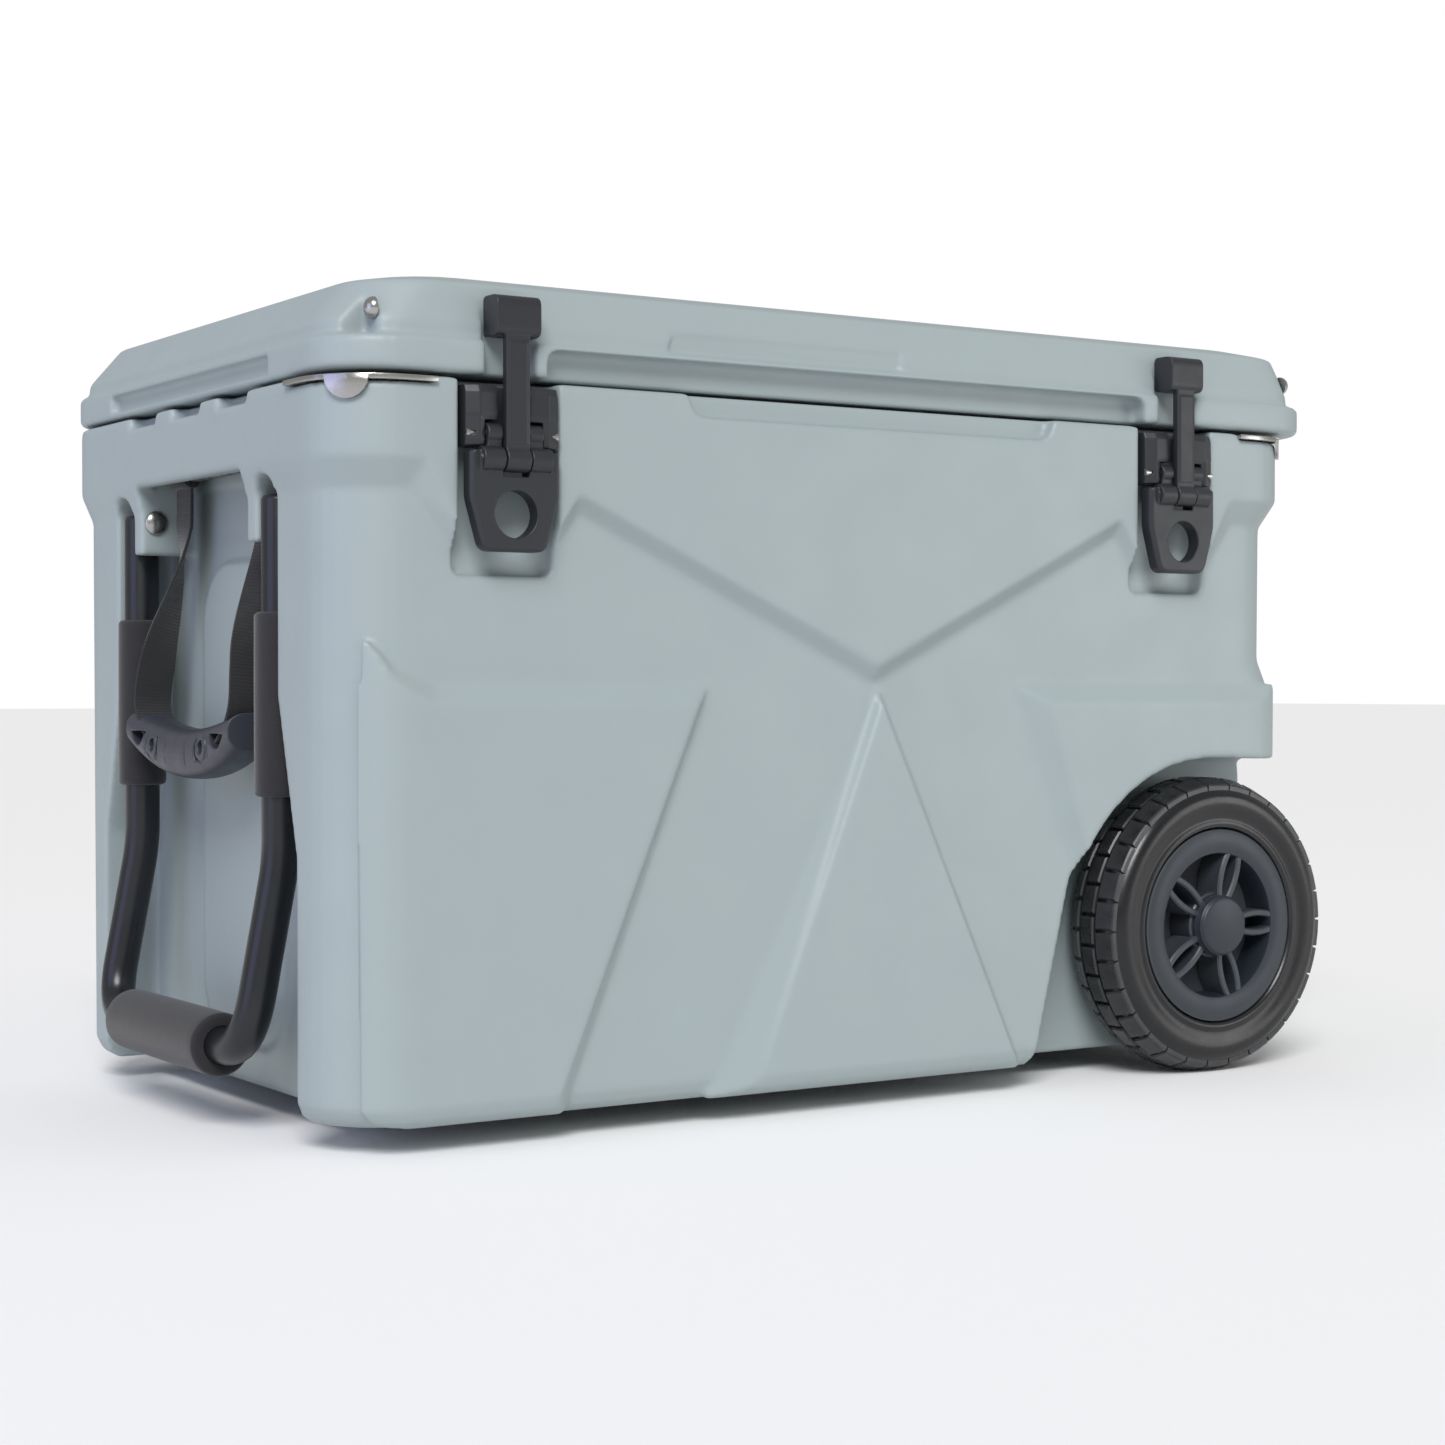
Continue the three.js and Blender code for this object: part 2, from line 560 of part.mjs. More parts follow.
/** Outline of the handle end pocket, seen from the handle end, with the two lugs left standing. */
function pocketShape() {
  const top = RIM_TOP - POCKET_TOP_DROP;
  const lugOuter = LUG_INNER + LUG_WIDTH;
  const archRadius = (JAMB_INNER - lugOuter) / 2;
  const archCentre = lugOuter + archRadius;
  const archZ = BOLT_Z + TUBE_RADIUS + 1 - archRadius * 0.6;
  const half = [
    [JAMB_INNER + JAMB_SPREAD, -5],
    [JAMB_INNER + JAMB_SPREAD, RIM_TOP - JAMB_SPREAD_DROP],
    [JAMB_INNER, RIM_TOP - JAMB_BEND_DROP],
  ];
  for (let step = 0; step <= 8; step += 1) {
    const angle = step * Math.PI / 8;
    half.push([archCentre + archRadius * Math.cos(angle), archZ + archRadius * Math.sin(angle)]);
  }
  half.push([lugOuter, top - LUG_HEIGHT], [LUG_INNER, top - LUG_HEIGHT], [LUG_INNER, top]);
  return outline([...half, ...half.map(([y, z]) => [-y, z]).reverse()]);
}

/** Space inside the liner: a deep bay and a shallow shelf over the wheel wells. */
function cavity(grow = 0, top = RIM_TOP + 5) {
  const bay = (x0, x1, side, z0) => loft([
    roundedRing(x0 - grow, x1 + grow, side + grow, CAVITY_RADIUS + grow, z0 - grow),
    roundedRing(x0 - grow, x1 + grow, side + grow, CAVITY_RADIUS + grow, top),
  ]);
  const lower = box(-LENGTH, LENGTH, -WIDTH, WIDTH, 0, STEP_HEIGHT + CAVITY_RADIUS);
  return join(
    bay(CAVITY_LEFT, CAVITY_RIGHT, CAVITY_SIDE, STEP_HEIGHT),
    bay(CAVITY_LEFT, STEP_X, CAVITY_SIDE, CAVITY_FLOOR).intersect(lower),
    bay(CAVITY_LEFT + CAVITY_WALL_LEFT, CAVITY_RIGHT, STEP_SIDE, CAVITY_FLOOR).intersect(lower),
  );
}

/** Foam that fills the wall, kept a skin's thickness inside the shell. */
function tubFoam(grow) {
  const foot = TUB_BOTTOM + SKIN + 7;
  const top = RIM_TOP - SKIN - 3;
  const block = (x0, x1, side, z0, z1) => loft([
    roundedRing(x0 - grow, x1 + grow, side + grow, CORNER_RADIUS - SKIN, z0 - grow),
    roundedRing(x0 - grow, x1 + grow, side + grow, CORNER_RADIUS - SKIN, z1 + grow),
  ]);
  const left = POCKET_BACK + SKIN;
  const latchBack = RIM_SIDE - RECESS_DEPTH - SKIN - 1;
  const wellFace = WHEEL_X - WHEEL_RADIUS - WELL_CLEARANCE - WELL_BACK - SKIN - 30;
  const solid = join(
    block(left, wellFace, wallAt(TUB_BOTTOM) - SKIN - 2, foot, RIM_TOP - RECESS_DROP - SKIN - 4),
    block(left, WALL_RIGHT - SKIN - 2, WELL_INNER - SKIN - 1, foot, STEP_HEIGHT + 20),
    block(left, WALL_RIGHT - SKIN - 2, latchBack, WELL_TOP + SKIN + 1, top),
  );
  return cut(solid, cavity(LINER - grow));
}

const tunnels = () => [
  rodY(-WELL_INNER - 10, -AXLE_END + GAP, WHEEL_X, WHEEL_RADIUS, AXLE_RADIUS + GAP),
  rodY(AXLE_END - GAP, WELL_INNER + 10, WHEEL_X, WHEEL_RADIUS, AXLE_RADIUS + GAP),
  rodX(CAVITY_RIGHT - 20, BUMPER_RIGHT + 20, DRAIN_SIDE, DRAIN_HEIGHT, DRAIN_RADIUS + GAP),
];

/** The recess behind one latch. */
function latchRecess(x) {
  const half = LATCH_WIDTH / 2 + RECESS_MARGIN;
  const shape = roundedShape(x - half, x + half, RIM_TOP - RECESS_DROP, RIM_TOP + 20, 6);
  return prismY(shape, -LID_SIDE - 20, -RIM_SIDE + RECESS_DEPTH);
}

const screwPlaces = (x) => [
  [x - SCREW_SPREAD, RIM_TOP - SCREW_DROP],
  [x + SCREW_SPREAD, RIM_TOP - SCREW_DROP],
];

/** A steel plate that wraps a front corner of the rim, with a half-round tab folded down. */
function cornerPlate(cornerX, side, grow = 0) {
  const centre = [cornerX - side * CORNER_RADIUS, -RIM_SIDE + CORNER_RADIUS];
  const start = side < 0 ? Math.PI : 1.5 * Math.PI;
  const arc = (radius) => Array.from({ length: CORNER_STEPS + 1 }, (_, step) => {
    const angle = start + (step * Math.PI) / (2 * CORNER_STEPS);
    return [centre[0] + radius * Math.cos(angle), centre[1] + radius * Math.sin(angle)];
  });
  const [alongY, alongX] = PLATE_TAILS;
  const ends = side < 0 ? [[0, alongY], [alongX, 0]] : [[-alongX, 0], [0, alongY]];
  const moved = (point, [dx, dy]) => [point[0] + dx, point[1] + dy];
  const outer = arc(CORNER_RADIUS + PLATE_OUT + grow);
  const inner = arc(CORNER_RADIUS - PLATE_IN - grow);
  const points = [
    moved(outer[0], ends[0]),
    ...outer,
    moved(outer.at(-1), ends[1]),
    moved(inner.at(-1), ends[1]),
    ...inner.reverse(),
    moved(inner.at(-1), ends[0]),
  ];
  const plate = prismZ(outline(points), RIM_TOP - 1 - PLATE_THICK - grow, RIM_TOP - 1 + 10 * grow);
  const tab = new THREE.CylinderGeometry(TAB_RADIUS, TAB_RADIUS, TAB_THICK, 20);
  const turn = side < 0 ? 0.75 * Math.PI : -0.75 * Math.PI;
  tab.translate(0, CORNER_RADIUS + TAB_THICK / 2, 0).rotateZ(turn).translate(...centre, RIM_TOP - 2);
  return join(plate, solidOf(tab).intersect(box(-LENGTH, LENGTH, -WIDTH, WIDTH, 0, RIM_TOP - 1.5)));
}

/** The two hinge places along the back. */
const hingePlaces = () => [PATTERN_X - HINGE_SPACING / 2, PATTERN_X + HINGE_SPACING / 2];

/** The outer knuckles of both hinges, each with its arm. */
function hingeArms() {
  return hingePlaces().flatMap((x) => [-1, 1].map((side) => {
    const centre = x + side * (KNUCKLE_LENGTH + 0.5);
    const [x0, x1] = [centre - KNUCKLE_LENGTH / 2, centre + KNUCKLE_LENGTH / 2];
    const arm = outline([
      [RIM_SIDE - 4, RIM_TOP - 36],
      [RIM_SIDE + 1, RIM_TOP - 36],
      [HINGE_Y + 2, HINGE_Z - 6],
      [HINGE_Y - 6, HINGE_Z - 2],
      [RIM_SIDE - 4, HINGE_Z - 2],
    ]);
    return join(prismX(arm, x0, x1), rodX(x0, x1, HINGE_Y, HINGE_Z, KNUCKLE_RADIUS, 16));
  }));
}

/** Bores and slots that other pieces pass through, cut into the tub. */
function tubBores() {
  const boltReach = JAMB_INNER + BOLT_REACH + GAP;
  const screwDepth = -RIM_SIDE + RECESS_DEPTH + SKIN + GAP;
  const screws = Object.values(LATCHES).flatMap((x) => screwPlaces(x).map(([sx, sz]) => (
    rodY(-RIM_SIDE, screwDepth, sx, sz, SCREW_RADIUS + GAP, 8))));
  const hinges = hingePlaces().map((x) => (
    rodX(x - 2.7 * KNUCKLE_LENGTH, x + 2.7 * KNUCKLE_LENGTH, HINGE_Y, HINGE_Z, HINGE_PIN_RADIUS + GAP)));
  return [
    ...tunnels(),
    ...hinges,
    ...screws,
    box(ROD_X - WEB_WIDTH / 2 - 3, ROD_X + WEB_WIDTH / 2 + 1, -LUG_INNER, LUG_INNER,
      RIM_TOP - POCKET_TOP_DROP - 1, ROD_Z + EYE_RADIUS + 4),
    rodY(-LUG_INNER - ROD_SEAT, LUG_INNER + ROD_SEAT, ROD_X, ROD_Z, ROD_RADIUS + GAP),
    rodY(-boltReach, -LUG_INNER + 1, ARM_X, BOLT_Z, BOLT_RADIUS + GAP),
    rodY(LUG_INNER - 1, boltReach, ARM_X, BOLT_Z, BOLT_RADIUS + GAP),
    rodZ(TUB_BOTTOM - 1, TUB_BOTTOM + SKIN + 12, PATTERN_X + FILL_OFFSET, 0, FILL_HOLE_RADIUS),
    cornerPlate(RIM_LEFT, -1, GAP),
    cornerPlate(RIM_RIGHT, 1, GAP),
  ];
}

function buildTub() {
  const pocket = prismX(pocketShape(), RIM_LEFT - 20, POCKET_BACK);
  const well = wheelWell();
  const vents = [-VENT_SPACING, 0, VENT_SPACING].map((y) => (
    box(RIM_LEFT - 5, RIM_LEFT + 10, y - VENT_HALF, y + VENT_HALF, RIM_TOP - 7, RIM_TOP + 5)));
  const [left, right, drop, depth] = RIM_SCOOP;
  const scoopShape = roundedShape(PATTERN_X - left, PATTERN_X + right, RIM_TOP - drop, RIM_TOP + 20, 12);
  const scoop = prismY(scoopShape, -LID_SIDE, -RIM_SIDE + depth);
  const swell = prismX(roundedShape(-64, 64, 40, 340, 40), POCKET_BACK - 5, POCKET_BACK + 3);
  let shell = cut(tubOuter(), cavity(), pocket, well, well.mirror([0, 1, 0]), scoop);
  shell = cut(shell, ...vents, ...Object.values(LATCHES).map(latchRecess));
  shell = cut(join(shell, swell, ...hingeArms()), tubFoam(GAP), ...tubBores());
  piece('tub_shell', shell, BODY_PLASTIC);
  piece('tub_foam_core', cut(tubFoam(0), ...tunnels()), FOAM);
  const fillX = PATTERN_X + FILL_OFFSET;
  const fillPlug = rodZ(TUB_BOTTOM + 0.5, TUB_BOTTOM + SKIN + 5, fillX, 0, FILL_HOLE_RADIUS - GAP);
  piece('tub_fill_plug', fillPlug, DARK_PLASTIC);
  piece('corner_plate_left', cornerPlate(RIM_LEFT, -1), STEEL);
  piece('corner_plate_right', cornerPlate(RIM_RIGHT, 1), STEEL);
  hingePlaces().forEach((x, i) => {
    const reach = 1.5 * KNUCKLE_LENGTH + 2;
    const pin = rodX(x - reach, x + reach, HINGE_Y, HINGE_Z, HINGE_PIN_RADIUS);
    piece(`hinge_pin_${['left', 'right'][i]}`, pin, STEEL);
  });
  const rodEnd = LUG_INNER + ROD_SEAT - 1;
  piece('webbing_rod', rodY(-rodEnd, rodEnd, ROD_X, ROD_Z, ROD_RADIUS), STEEL);
  for (const [name, side] of [['front', -1], ['rear', 1]]) {
    const head = rodY(-LUG_INNER + GAP, -LUG_INNER + 4, ARM_X, BOLT_Z, BOLT_HEAD_RADIUS);
    const shank = rodY(-JAMB_INNER - BOLT_REACH, -LUG_INNER + 2, ARM_X, BOLT_Z, BOLT_RADIUS);
    const bolt = join(head, shank);
    piece(`handle_bolt_${name}`, side < 0 ? bolt : bolt.mirror([0, 1, 0]), STEEL);
    const foot = loft([
      roundedRing(-FOOT_LENGTH / 2, FOOT_LENGTH / 2, FOOT_WIDTH / 2, 8, 0),
      roundedRing(-FOOT_LENGTH / 2 - 3, FOOT_LENGTH / 2 + 3, FOOT_WIDTH / 2 + 3, 8, TUB_BOTTOM - GAP),
    ]);
    piece(`foot_${name}`, foot, RUBBER, [WALL_LEFT + FOOT_INSET, side * FOOT_SPREAD, 0]);
  }
}

function buildDrain() {
  const sleeve = rodX(CAVITY_RIGHT - 12, BUMPER_RIGHT + 3, DRAIN_SIDE, DRAIN_HEIGHT, DRAIN_RADIUS);
  const flange = rodX(BUMPER_RIGHT + 2 + GAP, BUMPER_RIGHT + 6, DRAIN_SIDE, DRAIN_HEIGHT, DRAIN_FLANGE);
  const bore = rodX(CAVITY_RIGHT - 20, BUMPER_RIGHT + 10, DRAIN_SIDE, DRAIN_HEIGHT, DRAIN_BORE);
  piece('drain_body', cut(join(sleeve, flange), bore), DARK_PLASTIC);
  const ring = (x0, x1, outer, sides) => cut(
    rodX(x0, x1, DRAIN_SIDE, DRAIN_HEIGHT, outer, sides),
    rodX(x0 - 1, x1 + 1, DRAIN_SIDE, DRAIN_HEIGHT, DRAIN_RADIUS + GAP),
  );
  piece('drain_gasket', ring(BUMPER_RIGHT + GAP, BUMPER_RIGHT + 2, DRAIN_FLANGE - 1, ROUND_SIDES), RUBBER);
  piece('drain_nut', ring(CAVITY_RIGHT - 10, CAVITY_RIGHT - GAP, DRAIN_FLANGE, 6), DARK_PLASTIC);
  const stem = rodX(BUMPER_RIGHT - 16, BUMPER_RIGHT + 8, DRAIN_SIDE, DRAIN_HEIGHT, DRAIN_BORE - GAP);
  const cap = rodX(BUMPER_RIGHT + 6 + GAP, BUMPER_RIGHT + 14, DRAIN_SIDE, DRAIN_HEIGHT, DRAIN_FLANGE - 4);
  const wing = box(BUMPER_RIGHT + 12, BUMPER_RIGHT + 22, DRAIN_SIDE - WING_HALF, DRAIN_SIDE + WING_HALF,
    DRAIN_HEIGHT - WING_THICK / 2, DRAIN_HEIGHT + WING_THICK / 2);
  piece('drain_plug', join(stem, cap, wing), DARK_PLASTIC);
}

// ---------------------------------------------------------------- lid

/** Outer form of the lid: flange, sloping sides and a nearly flat top. */
function lidOuter() {
  const ring = (z, left, right, side, radius) => (
    roundedRing(-LID_END + left, LID_END - right, LID_SIDE - side, radius, z));
  return loft([
    ring(FLANGE_BOTTOM, 2, 2, 2, CORNER_RADIUS),
    ring(FLANGE_BOTTOM + 2, 0, 0, 0, CORNER_RADIUS),
    ring(FLANGE_TOP - 1.5, 0, 0, 0, CORNER_RADIUS),
    ring(FLANGE_TOP, 1.5, 1.5, 1.5, CORNER_RADIUS),
    ring(FLANGE_TOP + 0.5, 5, 5, 5, CORNER_RADIUS - 3),
    ...LID_RINGS.map(([rise, ...insets]) => ring(FLANGE_TOP + rise, ...insets, CORNER_RADIUS - 3)),
  ]);
}

/** The lid's plug, which reaches into the cavity. */
function lidPlug() {
  const ring = (z, gap) => (
    roundedRing(CAVITY_LEFT + gap, CAVITY_RIGHT - gap, CAVITY_SIDE - gap, CAVITY_RADIUS, z));
  return loft([ring(FLANGE_BOTTOM - PLUG_DEPTH, 2 * PLUG_GAP), ring(FLANGE_BOTTOM + 4, PLUG_GAP)]);
}

/** A ring round the cavity's mouth, between two offsets from its wall. */
function gasketRing(from, to, z0, z1) {
  const around = (out, z) => (
    roundedRing(CAVITY_LEFT - out, CAVITY_RIGHT + out, CAVITY_SIDE + out, CAVITY_RADIUS + out, z));
  return cut(loft([around(to, z0), around(to, z1)]), loft([around(from, z0 - 1), around(from, z1 + 1)]));
}

/** Foam that fills the lid. */
function lidFoam(grow) {
  const ring = (z, amount) => {
    const inset = amount - grow;
    return roundedRing(-LID_END + inset, LID_END - inset, LID_SIDE - inset, CORNER_RADIUS - 8, z);
  };
  return loft([
    ring(FLANGE_BOTTOM + 9 - grow, 32),
    ring(LID_TOP - 24 + grow, 34),
    ring(LID_TOP - 12 + grow, 70),
  ]);
}

/** Everything cut out of the front and ends of the lid. */
function lidCuts() {
  const hookTop = BASE_PIN_Z + HOOK_RISE + HOOK_RADIUS + 1;
  const hookHalf = HOOK_WIDTH / 2 + 2;
  const hookPocket = (x) => prismY(
    roundedShape(x - hookHalf, x + hookHalf, FLANGE_BOTTOM - 10, hookTop, 3),
    -LID_SIDE - 20,
    -LID_SIDE + HOOK_POCKET_DEPTH,
  );
  const [fromLeft, fromRight, depth] = CHANNEL;
  const channelShape = roundedShape(
    LATCHES.left + fromLeft, LATCHES.right - fromRight, FLANGE_BOTTOM - 20, FLANGE_TOP - 2, 8);
  const [badgeLow, badgeHigh] = BADGE_HEIGHTS.map((rise) => FLANGE_TOP + rise);
  const badge = outline([
    [PATTERN_X - BADGE_FOOT, badgeLow],
    [PATTERN_X + BADGE_TOP[1], badgeLow],
    [PATTERN_X + BADGE_TOP[1], badgeHigh],
    [PATTERN_X - BADGE_TOP[0], badgeHigh],
  ]);
  const [notchX, notchY] = LID_NOTCH;
  const notch = box(
    -LID_END - 5, -LID_END + notchX, -LID_SIDE - 5, -LID_SIDE + notchY, FLANGE_TOP + 0.2, LID_TOP);
  const [endInset, sideInset] = LID_PANEL_INSETS;
  const [panelEnd, panelSide] = [LID_END - endInset, LID_SIDE - sideInset];
  const panel = roundedShape(-panelEnd, panelEnd, -panelSide, panelSide, 20);
  return [
    ...Object.values(LATCHES).map(hookPocket),
    prismY(channelShape, -LID_SIDE - 5, -LID_SIDE + depth),
    prismY(badge, -LID_SIDE - 5, -LID_SIDE + 8),
    box(-LID_END - 5, -LID_END + 6, -END_SLOT_HALF, END_SLOT_HALF, FLANGE_BOTTOM + 3, FLANGE_TOP - 4),
    notch,
    notch.mirror([1, 0, 0]),
    prismZ(panel, LID_TOP - LID_PANEL_DEPTH, LID_TOP + 5),
  ];
}

function buildLid() {
  const gasketTo = GASKET_OFFSET + GASKET_WIDTH;
  const gasketTop = RIM_TOP + GAP + GASKET_HEIGHT;
  const [fillLow, fillHigh] = [FLANGE_BOTTOM - PLUG_DEPTH, FLANGE_BOTTOM + 9];
  const half = KNUCKLE_LENGTH / 2;
  const knuckles = hingePlaces().flatMap((x) => [
    box(x - half, x + half, LID_SIDE - 4, HINGE_Y + 3, HINGE_Z + 2.5, HINGE_Z + KNUCKLE_RADIUS - 0.5),
    rodX(x - half, x + half, HINGE_Y, HINGE_Z, KNUCKLE_RADIUS, 16),
  ]);
  const shell = cut(
    join(lidOuter(), lidPlug(), ...knuckles),
    gasketRing(GASKET_OFFSET - GAP, gasketTo + GAP, FLANGE_BOTTOM - 3, gasketTop + GAP),
    ...lidCuts(),
    lidFoam(GAP),
    rodZ(fillLow - 1, fillHigh + 1, FILL_OFFSET, 0, FILL_HOLE_RADIUS),
    ...hingePlaces().map((x) => rodX(x - 40, x + 40, HINGE_Y, HINGE_Z, HINGE_PIN_RADIUS + GAP)),
  );
  piece('lid_shell', shell, BODY_PLASTIC);
  piece('lid_foam_core', lidFoam(0), FOAM);
  const fillPlug = rodZ(fillLow + 0.5, fillHigh - GAP, FILL_OFFSET, 0, FILL_HOLE_RADIUS - GAP);
  piece('lid_fill_plug', fillPlug, DARK_PLASTIC);
  piece('lid_gasket', gasketRing(GASKET_OFFSET, gasketTo, RIM_TOP + GAP, gasketTop), RUBBER);
  for (const [name, side] of [['left', -1], ['right', 1]]) {
    const dome = sphere(0, 0, 0, STUD_RADIUS).intersect(box(-10, -1, -10, 10, -10, 10));
    const stud = dome.translate([1 - GAP, 0, 0]);
    const place = [side * (LID_END - LID_NOTCH[0]), -LID_SIDE + STUD_PLACE[0], FLANGE_TOP + STUD_PLACE[1]];
    piece(`lid_stud_${name}`, side < 0 ? stud : stud.mirror([1, 0, 0]), STEEL, place);
  }
}

// ---------------------------------------------------------------- latches

/** The screwed base of one latch, with its pin and screws. */
function buildLatchBase(side, x) {
  const half = LATCH_WIDTH / 2;
  const baseTop = RIM_TOP - BASE_TOP_DROP;
  const back = -RIM_SIDE + RECESS_DEPTH;
  const front = back - BASE_DEPTH;
  const cheekInner = STRAP_WIDTH / 2 + EAR_WIDTH + 3 * GAP + 0.5;
  const cheekFoot = BASE_PIN_Z - 7;
  const plate = box(x - half, x + half, front + GAP, back - GAP, cheekFoot, baseTop);
  const cheek = (a, b) => box(x + a, x + b, BASE_PIN_Y - 2, front + 1, cheekFoot, baseTop);
  const screws = screwPlaces(x);
  const screwHoles = screws.flatMap(([sx, sz]) => [
    rodY(BASE_PIN_Y - 4, back + 1, sx, sz, SCREW_RADIUS + GAP, 8),
    rodY(BASE_PIN_Y - 4, front + 3, sx, sz, 2 * SCREW_RADIUS + 0.5, 10),
  ]);
  const base = cut(
    join(plate, cheek(-half, -cheekInner), cheek(cheekInner, half)),
    rodX(x - half - 1, x + half + 1, BASE_PIN_Y, BASE_PIN_Z, BASE_PIN_RADIUS + GAP),
    ...screwHoles,
  );
  piece(`latch_base_${side}`, base, LATCH_RUBBER);
  piece(`latch_base_pin_${side}`, rodX(x - half, x + half, BASE_PIN_Y, BASE_PIN_Z, BASE_PIN_RADIUS), STEEL);
  screws.forEach(([sx, sz], i) => {
    const shank = rodY(front + 1, back + SKIN, sx, sz, SCREW_RADIUS, 8);
    const head = rodY(front - 0.5, front + 3 - GAP, sx, sz, 2 * SCREW_RADIUS, 10);
    piece(`latch_screw_${side}_${i + 1}`, join(head, shank), STEEL);
  });
}

/** The lever: a tapered plate with ears up to the base pin, a window and a round pull hole. */
function latchLever(x, pinY, pinZ) {
  const half = LATCH_WIDTH / 2 - 1;
  const [front, back] = [BASE_PIN_Y - 6, BASE_PIN_Y - 6 + LEVER_THICK];
  const tip = LEVER_TIP_WIDTH / 2;
  const top = BASE_PIN_Z - 10;
  const foot = BASE_PIN_Z - LEVER_LENGTH;
  const side = [[half, top], [half, top - LEVER_SHOULDER], [tip, foot + LEVER_TIP_CHAMFER],
    [tip - LEVER_TIP_CHAMFER, foot]];
  const blade = outline([
    ...side.map(([u, z]) => [x - u, z]),
    ...side.map(([u, z]) => [x + u, z]).reverse(),
  ]);
  const earIn = STRAP_WIDTH / 2 + 2 * GAP;
  const ear = (a, b) => join(
    box(x + a, x + b, front, BASE_PIN_Y + 4, top - 2, BASE_PIN_Z),
    rodX(x + a, x + b, BASE_PIN_Y - 1, BASE_PIN_Z, 5, 16),
  );
  return cut(
    join(prismY(blade, front, back), ear(-earIn - EAR_WIDTH, -earIn), ear(earIn, earIn + EAR_WIDTH)),
    box(x - earIn, x + earIn, front - 1, back + 1, pinZ - EYE_RADIUS - 3, top + 1),
    rodY(front - 1, back + 1, x, BASE_PIN_Z - HOLE_DROP, HOLE_RADIUS, 20),
    rodX(x - half, x + half, BASE_PIN_Y, BASE_PIN_Z, BASE_PIN_RADIUS + GAP),
    rodX(x - 23, x + 23, pinY, pinZ, STRAP_PIN_RADIUS + GAP),
  );
}

/** The strap: an eye round its pin, a flat pull and a round cross bar that lies in the lid's recess. */
function latchStrap(x, pinY, pinZ) {
  const back = BASE_PIN_Y - BASE_PIN_RADIUS - 0.8;
  const front = back - STRAP_THICK;
  const hookZ = BASE_PIN_Z + HOOK_RISE;
  const hookY = -LID_SIDE + HOOK_POCKET_DEPTH - HOOK_RADIUS - 0.8;
  const reach = STRAP_WIDTH / 2;
  const hookReach = HOOK_WIDTH / 2;
  return cut(
    join(
      rodX(x - reach, x + reach, pinY, pinZ, EYE_RADIUS, 20),
      box(x - reach, x + reach, front, back, pinZ, hookZ),
      rodX(x - hookReach, x + hookReach, hookY, hookZ, HOOK_RADIUS, 20),
      box(x - hookReach, x + hookReach, front, hookY, hookZ - HOOK_RADIUS, hookZ),
    ),
    rodX(x - 23, x + 23, pinY, pinZ, STRAP_PIN_RADIUS + GAP),
  );
}

function buildLatch(side, x) {
  const pinZ = BASE_PIN_Z - STRAP_PIN_DROP;
  const pinY = BASE_PIN_Y - STRAP_PIN_OUT;
  buildLatchBase(side, x);
  piece(`latch_lever_${side}`, latchLever(x, pinY, pinZ), LATCH_RUBBER);
  const pin = rodX(x - STRAP_PIN_HALF, x + STRAP_PIN_HALF, pinY, pinZ, STRAP_PIN_RADIUS);
  piece(`latch_strap_pin_${side}`, pin, STEEL);
  piece(`latch_strap_${side}`, latchStrap(x, pinY, pinZ), LATCH_RUBBER);
}

// ---------------------------------------------------------------- wheels

